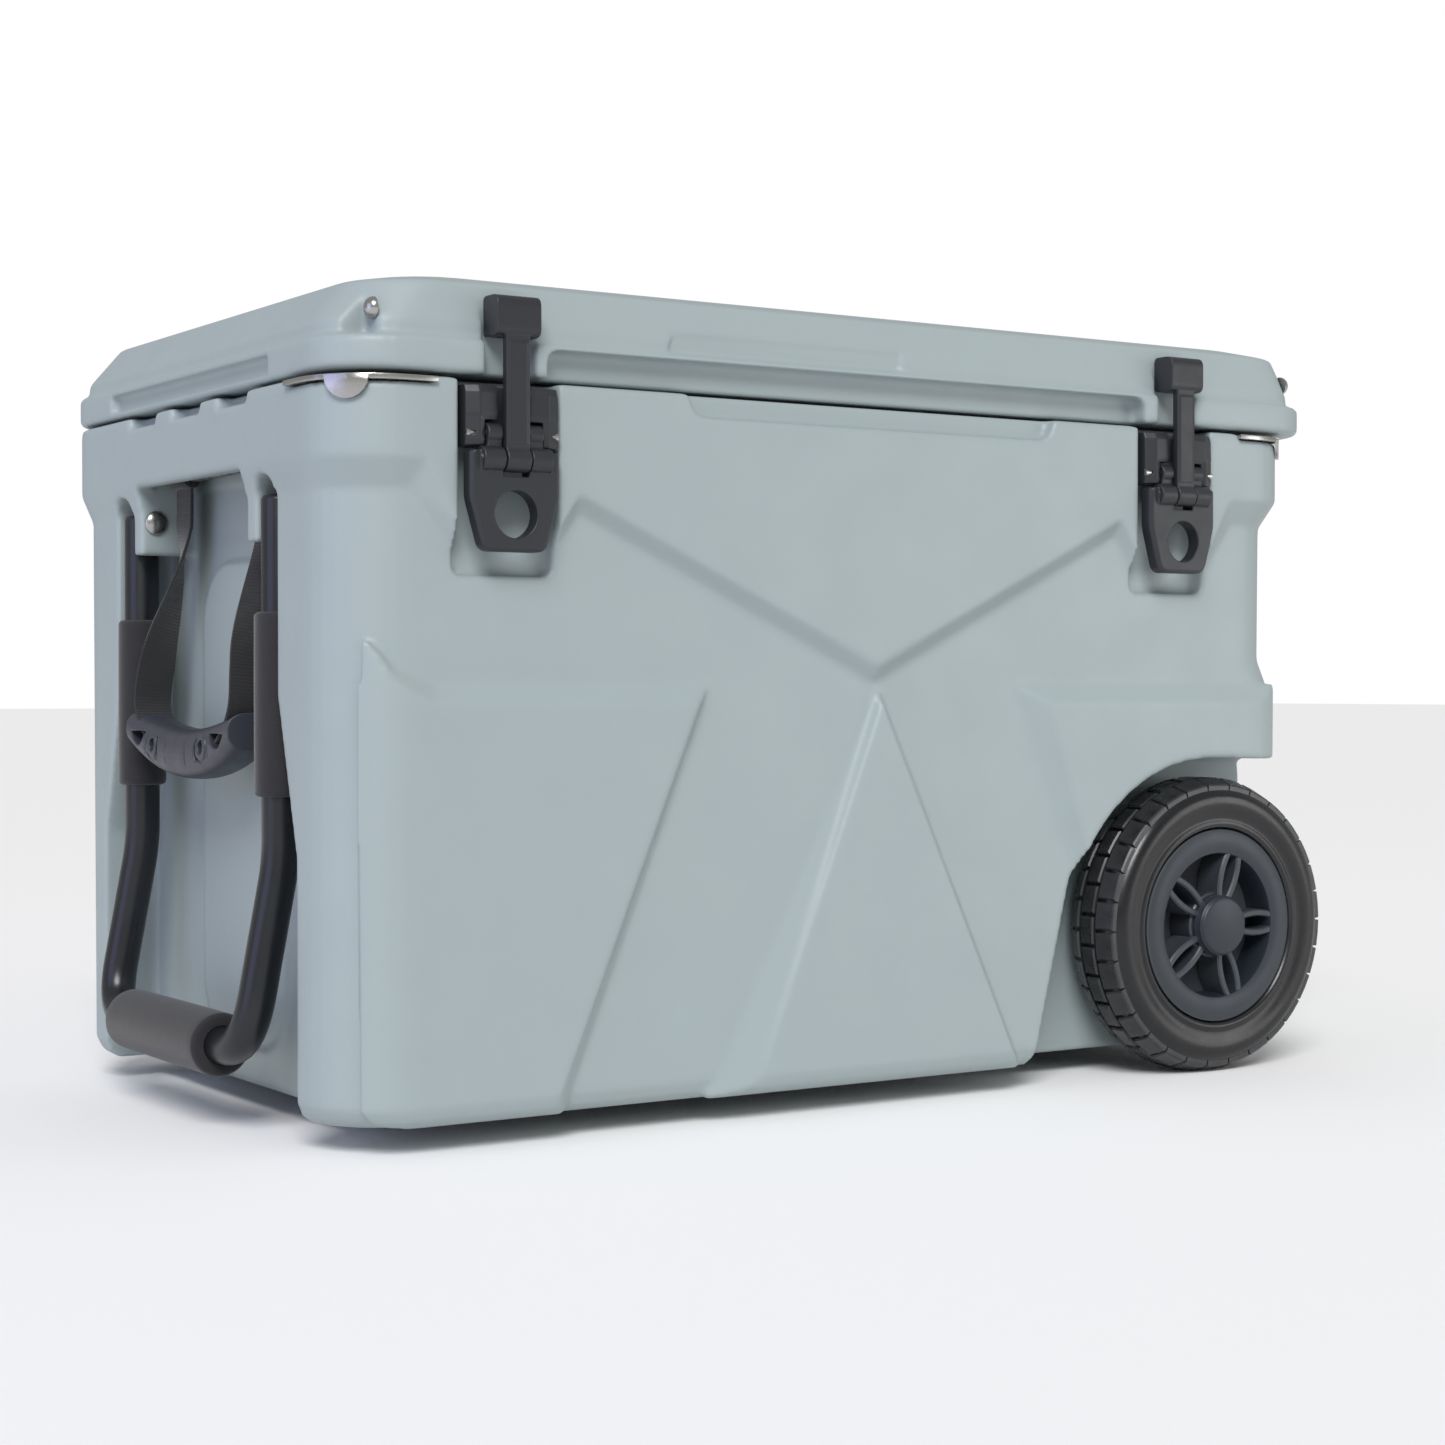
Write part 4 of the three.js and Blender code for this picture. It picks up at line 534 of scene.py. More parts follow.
def packed_copy(name: str, nodes: Sequence[str], flat_degrees: float = 0.0) -> Piece:
    """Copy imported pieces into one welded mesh.

    Args:
        name: the new object's name.
        nodes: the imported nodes.
        flat_degrees: merges faces that meet at less than this angle, if it isn't 0.

    Returns:
        The new object.
    """
    shape = bmesh.new()
    for node in nodes:
        shape.from_mesh(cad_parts[node].data)
    bmesh.ops.remove_doubles(shape, verts=shape.verts, dist=1e-6)
    if flat_degrees:
        bmesh.ops.dissolve_limit(shape, angle_limit=math.radians(flat_degrees), verts=shape.verts,
                                 edges=shape.edges)
    mesh = bpy.data.meshes.new(name)
    shape.to_mesh(mesh)
    shape.free()
    made = bpy.data.objects.new(name, mesh)
    bpy.context.scene.collection.objects.link(made)
    return made


def dress(piece: Piece, finish: Finish, body: str, replaced: Sequence[str] = ()) -> Piece:
    """Give a finished piece its material, its body and the nodes that it stands for.

    Args:
        piece: the finished object.
        finish: its material.
        body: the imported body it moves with.
        replaced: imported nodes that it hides.

    Returns:
        The same object.
    """
    piece.data.materials.clear()
    piece.data.materials.append(build_material(finish))
    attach(piece, body)
    if replaced:
        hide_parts(*replaced)
    LOG.info("%s: %d faces on %s", piece.name, len(piece.data.polygons), body)
    return piece


def finish_node(node: str, finish: Finish) -> None:
    """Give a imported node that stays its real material."""
    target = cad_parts[node]
    target.data.materials.clear()
    target.data.materials.append(build_material(finish))


# ------------------------------------------------------------------ geometry node trees

def new_tree(name: str, inputs: dict[str, str]) -> bpy.types.NodeTree:
    """Start a Geometry Nodes tree with named inputs.

    Args:
        name: the tree's name.
        inputs: input name to socket type, after the geometry itself.

    Returns:
        The tree, with its geometry input and output declared.
    """
    tree = bpy.data.node_groups.new(name, "GeometryNodeTree")
    tree.interface.new_socket("Geometry", in_out="INPUT", socket_type="NodeSocketGeometry")
    for key, kind in inputs.items():
        tree.interface.new_socket(key, in_out="INPUT", socket_type=kind)
    tree.interface.new_socket("Geometry", in_out="OUTPUT", socket_type="NodeSocketGeometry")
    return tree


def run_tree(piece: Piece, tree: bpy.types.NodeTree, values: dict[str, object]) -> Piece:
    """Run a tree on an object and keep the result as its mesh.

    Args:
        piece: the object.
        tree: the Geometry Nodes tree.
        values: input name to value.

    Returns:
        The same object, without the modifier.
    """
    modifier = piece.modifiers.new(tree.name, "NODES")
    modifier.node_group = tree
    for item in tree.interface.items_tree:
        if item.in_out == "INPUT" and item.name in values:
            modifier[item.identifier] = values[item.name]
    return bake(piece)


def ring_tree() -> bpy.types.NodeTree:
    """The tree that sets copies of a part evenly round an axis along Y."""
    known = bpy.data.node_groups.get("copies_round_axle")
    if known:
        return known
    tree = new_tree("copies_round_axle", {
        "Part": "NodeSocketObject", "Count": "NodeSocketInt", "Phase": "NodeSocketFloat",
        "Centre": "NodeSocketVector", "Material": "NodeSocketMaterial"})
    given = add_node(tree, "NodeGroupInput").outputs
    spots = add_node(tree, "GeometryNodePoints", {"Count": given["Count"], "Position": given["Centre"]})
    part = add_node(tree, "GeometryNodeObjectInfo", {"Object": given["Part"]})
    index = add_node(tree, "GeometryNodeInputIndex").outputs["Index"]
    share = add_node(tree, "ShaderNodeMath", {0: index, 1: given["Count"]}, operation="DIVIDE")
    turned = add_node(tree, "ShaderNodeMath", {0: share.outputs[0], 1: 2 * math.pi, 2: given["Phase"]},
                      operation="MULTIPLY_ADD")
    euler = add_node(tree, "ShaderNodeCombineXYZ", {"Y": turned.outputs[0]})
    rotation = add_node(tree, "FunctionNodeEulerToRotation", {"Euler": euler.outputs["Vector"]})
    copies = add_node(tree, "GeometryNodeInstanceOnPoints", {
        "Points": spots.outputs[0], "Instance": part.outputs["Geometry"],
        "Rotation": rotation.outputs["Rotation"]})
    real = add_node(tree, "GeometryNodeRealizeInstances", {"Geometry": copies.outputs["Instances"]})
    coated = add_node(tree, "GeometryNodeSetMaterial", {
        "Geometry": real.outputs["Geometry"], "Material": given["Material"]})
    add_node(tree, "NodeGroupOutput", {"Geometry": coated.outputs["Geometry"]})
    return tree


def copies_round(part: Piece, name: str, count: int, phase: float, centre: Vector, finish: Finish) -> Piece:
    """Set copies of a part, modelled about the origin, round an axis along Y.

    Args:
        part: the part; it is used up.
        name: name of the result.
        count: number of copies.
        phase: turn of the first one, in degrees from +Z towards +X.
        centre: centre of the ring, in millimetres.
        finish: material of the copies.

    Returns:
        One mesh with every copy.
    """
    holder = make_object(name, [(0, 0, 0)], [])
    run_tree(holder, ring_tree(), {
        "Part": part, "Count": count, "Phase": math.radians(phase), "Centre": tuple(centre * MM),
        "Material": build_material(finish)})
    remove(part)
    return holder


def tube_tree() -> bpy.types.NodeTree:
    """The tree that sweeps a round section along a path."""
    tree = new_tree("round_tube_on_path", {
        "Radius": "NodeSocketFloat", "Sides": "NodeSocketInt", "Material": "NodeSocketMaterial"})
    given = add_node(tree, "NodeGroupInput").outputs
    path = add_node(tree, "GeometryNodeMeshToCurve", {"Mesh": given["Geometry"]})
    section = add_node(tree, "GeometryNodeCurvePrimitiveCircle", {
        "Resolution": given["Sides"], "Radius": given["Radius"]})
    swept = add_node(tree, "GeometryNodeCurveToMesh", {
        "Curve": path.outputs["Curve"], "Profile Curve": section.outputs["Curve"], "Fill Caps": True})
    real = add_node(tree, "GeometryNodeRealizeInstances", {"Geometry": swept.outputs["Mesh"]})
    coated = add_node(tree, "GeometryNodeSetMaterial", {
        "Geometry": real.outputs["Geometry"], "Material": given["Material"]})
    add_node(tree, "NodeGroupOutput", {"Geometry": coated.outputs["Geometry"]})
    return tree


def tube_along(name: str, path: Sequence[Vector], radius: float, sides: int, finish: Finish) -> Piece:
    """A round tube along a path.

    Args:
        name: the object's name.
        path: points in millimetres.
        radius: of the tube, in millimetres.
        sides: round its section.
        finish: its material.

    Returns:
        A closed mesh.
    """
    mesh = bpy.data.meshes.new(name)
    mesh.from_pydata([tuple(p * MM) for p in path], [(i, i + 1) for i in range(len(path) - 1)], [])
    made = bpy.data.objects.new(name, mesh)
    bpy.context.scene.collection.objects.link(made)
    run_tree(made, tube_tree(), {"Radius": radius * MM, "Sides": sides, "Material": build_material(finish)})
    return shade(made, 60.0)


def rounded_path(corners: Sequence[Vector], radii: Sequence[float], steps: int = 14) -> list[Vector]:
    """A path of straight runs with curved corners.

    Args:
        corners: the sharp path.
        radii: one bend radius for each inner corner.
        steps: points in each bend.

    Returns:
        The points of the path.
    """
    points = [corners[0]]
    for i, radius in enumerate(radii, start=1):
        here = corners[i]
        back, on = (corners[i - 1] - here).normalized(), (corners[i + 1] - here).normalized()
        reach = radius / math.tan(back.angle(on) / 2)
        start, end = here + back * reach, here + on * reach
        for step in range(steps + 1):
            t = step / steps
            points.append(start * (1 - t) ** 2 + here * 2 * t * (1 - t) + end * t ** 2)
    return [*points, corners[-1]]


# ------------------------------------------------------------------ tub and lid

@dataclass
class Shells:
    """The two foam-filled mouldings, with the soft edges that a rotational mould leaves."""

    tub_voxel: float = 2.2
    lid_voxel: float = 2.0
    relax: int = 4
    triangles: int = 180_000

    def build(self) -> None:
        """Make the tub and the lid, each a solid wall with its foam inside."""
        coarse = 1.0
        tub = packed_copy("tub_body", ["tub_shell", "tub_foam_core"])
        soften(tub, self.tub_voxel * coarse, self.relax, self.triangles)
        dress(tub, POLYETHYLENE, "tub", ["tub_shell", "tub_foam_core"])
        lid = packed_copy("lid_body", ["lid_shell", "lid_foam_core"])
        soften(lid, self.lid_voxel * coarse, self.relax, self.triangles)
        dress(lid, POLYETHYLENE, "lid", ["lid_shell", "lid_foam_core"])


# ------------------------------------------------------------------ latches

@dataclass
class Latch:
    """A rubber pull latch: screwed base, lever with a pull hole, strap with a rounded hook bar."""

    side: str
    cheek_inner: float = 18.4
    block_inner: float = 10.2
    block_foot: float = 7.4
    base_chamfer: float = 2.2
    ear_inner: float = 8.5
    ear_outer: float = 17.7
    barrel_radius: float = 7.2
    barrel_half: float = 21.9
    hole_radius: float = 13.5
    tip_half: float = 20.0
    shoulder_drop: float = 36.0
    block_cover: float = 4.6  # the blocks' faces in front of the pin's centre
    screw_bore: float = 4.6
    pin_bore: float = 2.9
    voxel: float = 0.5

    def build(self) -> None:
        """Make the base, the lever and the strap, and dress the steel pins and screws."""
        side = self.side
        self.pin = span(f"latch_base_pin_{side}").centre
        self.strap_pin = span(f"latch_strap_pin_{side}").centre
        dress(self._base(), LATCH_RUBBER, "tub", [f"latch_base_{side}"])
        dress(self._lever(), LATCH_RUBBER, f"lever_{side}", [f"latch_lever_{side}"])
        dress(self._strap(), LATCH_RUBBER, f"strap_{side}", [f"latch_strap_{side}"])
        for node in ("latch_base_pin_", "latch_strap_pin_"):
            finish_node(node + side, STEEL)
        for number in (1, 2):
            finish_node(f"latch_screw_{side}_{number}", STEEL)

    def _base(self) -> Piece:
        """The base: a back plate and two blocks with a step where the lever's ears reach up."""
        box = span(f"latch_base_{self.side}")
        x, pin = self.pin.x, self.pin
        half = (box.high.x - box.low.x) / 2
        front, back = pin.y - self.block_cover, box.high.y
        plate = block("plate", (x - half, x + half), (back - 8.6, back), (box.low.z, box.high.z))
        blocks = []
        for way in (-1, 1):
            outline = [(self.block_inner, front + 1.2), (half - 7.5, front), (half, front + 3.4),
                       (half, back - 1), (self.block_inner, back - 1)]
            for low, inner in ((box.low.z, self.cheek_inner), (pin.z + self.block_foot, self.block_inner)):
                ring = [(x + way * max(u, inner), v) for u, v in outline]
                blocks.append(loft("cheek", [
                    [(u, v + 0.8, low) for u, v in ring],
                    [(u, v, low + 3) for u, v in ring],
                    [(u, v + 0.4, box.high.z - 4) for u, v in ring],
                    [(u, min(v + self.base_chamfer, back - 1), box.high.z) for u, v in ring],
                ]))
        pin_hole = rod_x("hole", (x - half + 3, x + half - 3), pin.y, pin.z, self.pin_bore)
        base = carve(plate, blocks, [pin_hole, *self._screw_bores(back)])
        base.name = f"latch_{self.side}_base"
        return soften(base, self.voxel, 3, 26_000)

    def _screw_bores(self, back: float) -> list[Piece]:
        """Cutters for the two screws' bores, which stay behind the blocks' faces."""
        cutters = []
        for number in (1, 2):
            screw = span(f"latch_screw_{self.side}_{number}")
            middle = screw.centre
            cutters.append(rod_y("bore", (screw.low.y - 0.6, back + 1), middle.x, middle.z, self.screw_bore))
        return cutters

    def _lever(self) -> Piece:
        """The lever: a tapered blade, two ears, a barrel round the strap pin and a round pull hole."""
        box = span(f"latch_lever_{self.side}")
        x, pin, cross = self.pin.x, self.pin, self.strap_pin
        half = (box.high.x - box.low.x) / 2
        front, back = box.low.y, box.high.y
        top = pin.z - 9.6
        outline = rounded_outline(
            [(-half, top), (-half, pin.z - self.shoulder_drop), (-self.tip_half, box.low.z),
             (self.tip_half, box.low.z), (half, pin.z - self.shoulder_drop), (half, top)],
            [2.5, 22, 7.5, 7.5, 22, 2.5])
        placed = [(x + u, w) for u, w in outline]
        smaller = [(x + u * 0.94, cross.z + (w - cross.z) * 0.965) for u, w in outline]
        blade = loft("blade", [[(u, back, w) for u, w in placed], [(u, front + 2.4, w) for u, w in placed],
                               [(u, front, w) for u, w in smaller]])
        ears = []
        for way in (-1, 1):
            inner, outer = sorted((x + way * self.ear_inner, x + way * self.ear_outer))
            ears.append(block("ear", (inner, outer), (front + 1.2, front + 9.4), (top - 4, pin.z + 0.5)))
            ears.append(rod_x("ear_end", (inner, outer), pin.y - 0.6, pin.z, 5.9))
            end = sorted((x + way * self.ear_inner, x + way * self.barrel_half))
            ears.append(rod_x("barrel", (end[0], end[1]), cross.y + 0.6, cross.z, self.barrel_radius))
        cutters = [
            block("window", (x - self.ear_inner, x + self.ear_inner), (front - 9, back + 3),
                  (cross.z - 9.4, pin.z + 9)),
            rod_y("pull", (front - 2, back + 2), x, pin.z - 45, self.hole_radius),
            rod_x("pin", (x - half, x + half), pin.y, pin.z, self.pin_bore),
        ]
        lever = carve(blade, ears, cutters)
        lever.name = f"latch_{self.side}_lever"
        return soften(lever, self.voxel, 3, 30_000)

    def _strap(self) -> Piece:
        """The strap: an eye round its pin, a flat pull with thick edges and a rounded hook bar."""
        box = span(f"latch_strap_{self.side}")
        x, cross = self.pin.x, self.strap_pin
        reach, wide = 7.6, (box.high.x - box.low.x) / 2
        front = box.low.y + 2.1
        eye = rod_x("eye", (x - reach, x + reach), cross.y, cross.z, 7.1)
        pull = block("pull", (x - reach, x + reach), (front, front + 5), (cross.z, box.high.z - 10))
        web = block("web", (x - reach + 2, x + reach - 2), (front - 0.5, front + 2),
                    (cross.z + 9, box.high.z - 26))
        head = rounded_outline([(box.low.y + 0.6, box.high.z - 23), (box.high.y, box.high.z - 23),
                                (box.high.y, box.high.z), (box.low.y + 0.6, box.high.z)], [5.2, 3, 3, 6.2])
        bar = loft("bar", [[(x + u, v, w) for v, w in head] for u in (-wide, wide)])
        tunnel = rod_x("pin", (x - 12, x + 12), cross.y, cross.z, 3.75)
        strap = carve(eye, [pull, web, bar], [tunnel])
        strap.name = f"latch_{self.side}_strap"
        return soften(strap, self.voxel, 3, 22_000)


# ------------------------------------------------------------------ wheels

@dataclass
class Wheel:
    """A blow-moulded tyre with staggered tread blocks, on a hub with five double spokes."""

    place: str
    outwards: int
    tread_height: float = 2.8
    block_fill: float = 0.87  # share of the tread's pitch that a block takes
    bar_gap: float = 3.7  # half the gap of a double spoke at the boss
    bar_bow: float = 2.5
    bar_spread: float = 1.0
    blocks_round: int = 30
    spokes: int = 5
    spoke_phase: float = 18.0
    rim_radius: float = 65.2
    window_radius: float = 48.5
    boss_radius: float = 22.5

    def build(self) -> None:
        """Make the tyre, the hub and its cap, and dress the pieces inside."""
        tyre = span(f"tyre_{self.place}")
        self.centre = Vector((tyre.centre.x, 0, tyre.centre.z))
        self.radius = (tyre.high.z - tyre.low.z) / 2
        self.inner = tyre.high.y if self.outwards < 0 else tyre.low.y
        self.outer = tyre.low.y if self.outwards < 0 else tyre.high.y
        body = f"wheel_{self.place}"
        dress(self._tyre(), TYRE_RUBBER, body, [f"tyre_{self.place}"])
        dress(self._hub(), POLYPROPYLENE, body, [f"wheel_hub_{self.place}"])
        dress(self._cap(), POLYPROPYLENE, body, [f"hub_cap_{self.place}"])
        finish_node(f"wheel_bush_{self.place}", NYLON)
        finish_node(f"axle_nut_{self.place}", STEEL)
        finish_node(f"axle_washer_{self.place}", STEEL)

    def _across(self, depth: float) -> float:
        """Y of a point that lies a depth behind the wheel's outer face."""
        return self.outer - self.outwards * depth

    def _tyre(self) -> Piece:
        """The carcass with its bulged sidewalls, and three rows of tread blocks."""
        width = abs(self.outer - self.inner)
        crown = self.radius - self.tread_height
        profile = [(65.8, 4.6), (67.4, 2.2), (69.5, 1.6), (71.2, 2.4), (73.0, 2.6), (77.0, 1.4), (82.0, 0.4),
                   (86.5, 0.3), (90.0, 1.6), (92.2, 3.6), (94.0, 5.8), (crown - 0.6, 8.6), (crown, 11.5)]
        far = [(r, width - d) for r, d in reversed(profile)]
        section = [(r, self._across(d)) for r, d in [*profile, *far]]
        carcass = shade(revolve("carcass", section, self.centre, 144), 60)
        rows = []
        pitch = 360 / self.blocks_round
        for low, high, phase, tip in ((3.4, 15.6, 0.0, 4.2), (18.0, width - 18.0, 0.5, 0.0),
                                      (width - 15.6, width - 3.4, 0.0, -4.2)):
            part = self._tread_block(low, high, tip)
            rows.append(copies_round(part, "row", self.blocks_round, phase * pitch, self.centre, TYRE_RUBBER))
        return join(f"tyre_{self.place}_moulding", [carcass, *rows])

    def _tread_block(self, low: float, high: float, tip: float) -> Piece:
        """One tread block about the origin, standing on +Z.

        Args:
            low: its near side, as depth behind the outer face.
            high: its far side.
            tip: how far the shoulder end is turned down over the sidewall.

        Returns:
            A small chamfered block.
        """
        half = math.pi * self.radius / self.blocks_round * self.block_fill
        foot = self.radius - self.tread_height - 1.5
        near_drop, far_drop = max(tip, 0.0), max(-tip, 0.0)
        rings = []
        for inset, lift in ((0.0, 0.0), (0.0, 0.72), (0.9, 1.0)):
            height = self.tread_height + 1.5
            y0, y1 = self._across(low + inset), self._across(high - inset)
            x = half - inset
            near, far = foot + height * lift - near_drop, foot + height * lift - far_drop
            rings.append([(-x, y0, near), (0, y0, near + 0.35), (x, y0, near),
                          (x, y1, far), (0, y1, far + 0.35), (-x, y1, far)])
        part = loft("tread_block", rings)
        return shade(part, 30)

    def _hub(self) -> Piece:
        """The flat rim ring, the boss and five double spokes with a lens-shaped slot in each."""
        rim = [(self.rim_radius, 3.2), (self.rim_radius - 1.6, 2.2), (self.window_radius + 3.4, 2.4),
               (self.window_radius + 0.8, 3.6), (self.window_radius, 6.0), (self.window_radius - 1.0, 16.0),
               (self.window_radius - 1.0, 36.0), (self.rim_radius, 40.0)]
        ring = revolve("rim", [(r, self._across(d)) for r, d in rim], self.centre, 96)
        boss = [(10.2, 8.4), (self.boss_radius - 1.2, 7.2), (self.boss_radius, 8.4),
                (self.boss_radius + 1.0, 30.0), (self.boss_radius, 46.0), (10.2, 46.0)]
        core = revolve("boss", [(r, self._across(d)) for r, d in boss], self.centre, 64)
        web = [(self.boss_radius - 1, 27.0), (self.window_radius + 1, 25.0), (self.window_radius + 1, 29.0),
               (self.boss_radius - 1, 31.0)]
        disc = revolve("web", [(r, self._across(d)) for r, d in web], self.centre, 72)
        bars = join("bars", [self._spoke_bar(way) for way in (-1, 1)])
        spokes = copies_round(bars, "spokes", self.spokes, self.spoke_phase, self.centre, POLYPROPYLENE)
        return join(f"hub_{self.place}_moulding", [shade(ring, 35), shade(core, 35), shade(disc, 35), spokes])

    def _spoke_bar(self, way: int) -> Piece:
        """One bowed bar of a double spoke, about the origin and standing on +Z."""
        rings = []
        steps = 10
        for step in range(steps + 1):
            t = step / steps
            out = self.boss_radius - 3 + t * (self.window_radius - self.boss_radius + 5)
            bow = self.bar_bow * math.sin(math.pi * t) ** 0.8
            middle = way * (self.bar_gap + bow + self.bar_spread * t)
            half = 2.3
            section = [(-half, 5.0), (-half + 0.9, 3.9), (half - 0.9, 3.9),
                       (half, 5.0), (half, 24.5), (-half, 24.5)]
            rings.append([(middle + u, self._across(d), out) for u, d in section])
        return shade(loft("bar", rings), 35)

    def _cap(self) -> Piece:
        """The plain hub cap: a low disc with an eased rim and a shallow step."""
        box = span(f"hub_cap_{self.place}")
        face = box.low.y if self.outwards < 0 else box.high.y
        top = abs(face - self.outer)
        outline = [(0.0, -top), (17.4, -top), (18.6, -top + 0.35), (19.4, -top + 1.1), (19.8, -top + 2.2),
                   (20.3, -top + 2.6), (20.5, -top + 3.4), (20.5, 5.4), (14.0, 5.4), (12.6, 3.4), (0.0, 3.4)]
        placed = [(r, self._across(d)) for r, d in outline]
        return shade(revolve(f"cap_{self.place}_moulding", placed, self.centre, 72), 35)


# ------------------------------------------------------------------ tow handle

@dataclass
class TowHandle:
    """The bent black tube with two foam arm sleeves and a thicker foam grip on its cross bar."""

    tube_radius: float = 11.0
    bend_radius: float = 34.0
    kick_radius: float = 150.0
    kick_drop: float = 207.0
    sleeve_lip: float = 3.0

    def build(self) -> None:
        """Make the tube and the three foam pieces."""
        tube, cross = span("handle_tube"), span("cross_grip")
        front, rear = span("arm_grip_front"), span("arm_grip_rear")
        arm_x, top = front.centre.x, tube.high.z - self.tube_radius
        bar = Vector((cross.centre.x, 0, cross.centre.z))
        side = [(arm_x, top + self.tube_radius * 0.55), (arm_x, top - self.kick_drop), (bar.x, bar.z)]
        corners = [Vector((x, front.centre.y, z)) for x, z in side]
        corners += [Vector((x, rear.centre.y, z)) for x, z in reversed(side)]
        radii = [self.kick_radius, self.bend_radius, self.bend_radius, self.kick_radius]
        bent = tube_along("tow_tube", rounded_path(corners, radii), self.tube_radius, 32, POWDER_COAT)
        dress(eased(bent, 3.2, 3, 60), POWDER_COAT, "tow_handle", ["handle_tube"])
        for name, box in (("front", front), ("rear", rear)):
            self._sleeve(f"arm_sleeve_{name}", box, f"arm_grip_{name}", upright=True)
        self._sleeve("cross_sleeve", cross, "cross_grip", upright=False)

    def _sleeve(self, name: str, box: Span, node: str, upright: bool) -> None:
        """One foam sleeve with eased ends and a slight swell.

        Args:
            name: the object's name.
            box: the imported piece's box.
            node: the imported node.
            upright: the sleeve stands along Z, or else lies along Y.
        """
        radius = (box.high.x - box.low.x) / 2
        length = (box.high.z - box.low.z) if upright else (box.high.y - box.low.y)
        lip, bore, half = self.sleeve_lip, self.tube_radius + 0.25, length / 2
        outer = [(bore, -half + 0.8), (bore + 1, -half)]
        outer += [(radius - lip + lip * math.sin(a), -half + lip - lip * math.cos(a))
                  for a in np.linspace(0, math.pi / 2, 7)]
        swell = [(radius + 0.12 * math.sin(math.pi * t), -half + lip + t * (length - 2 * lip))
                 for t in np.linspace(0.05, 0.95, 15)]
        mirrored = [(r, -y) for r, y in reversed(outer)]
        sleeve = revolve(name, [*outer, *swell, *mirrored], Vector((0, 0, 0)), 64)
        if upright:
            sleeve.data.transform(Matrix.Rotation(math.pi / 2, 4, "X"))
        sleeve.data.transform(Matrix.Translation(box.centre * MM))
        dress(shade(sleeve, 50), GRIP_FOAM, "tow_handle", [node])


# ------------------------------------------------------------------ carry handle

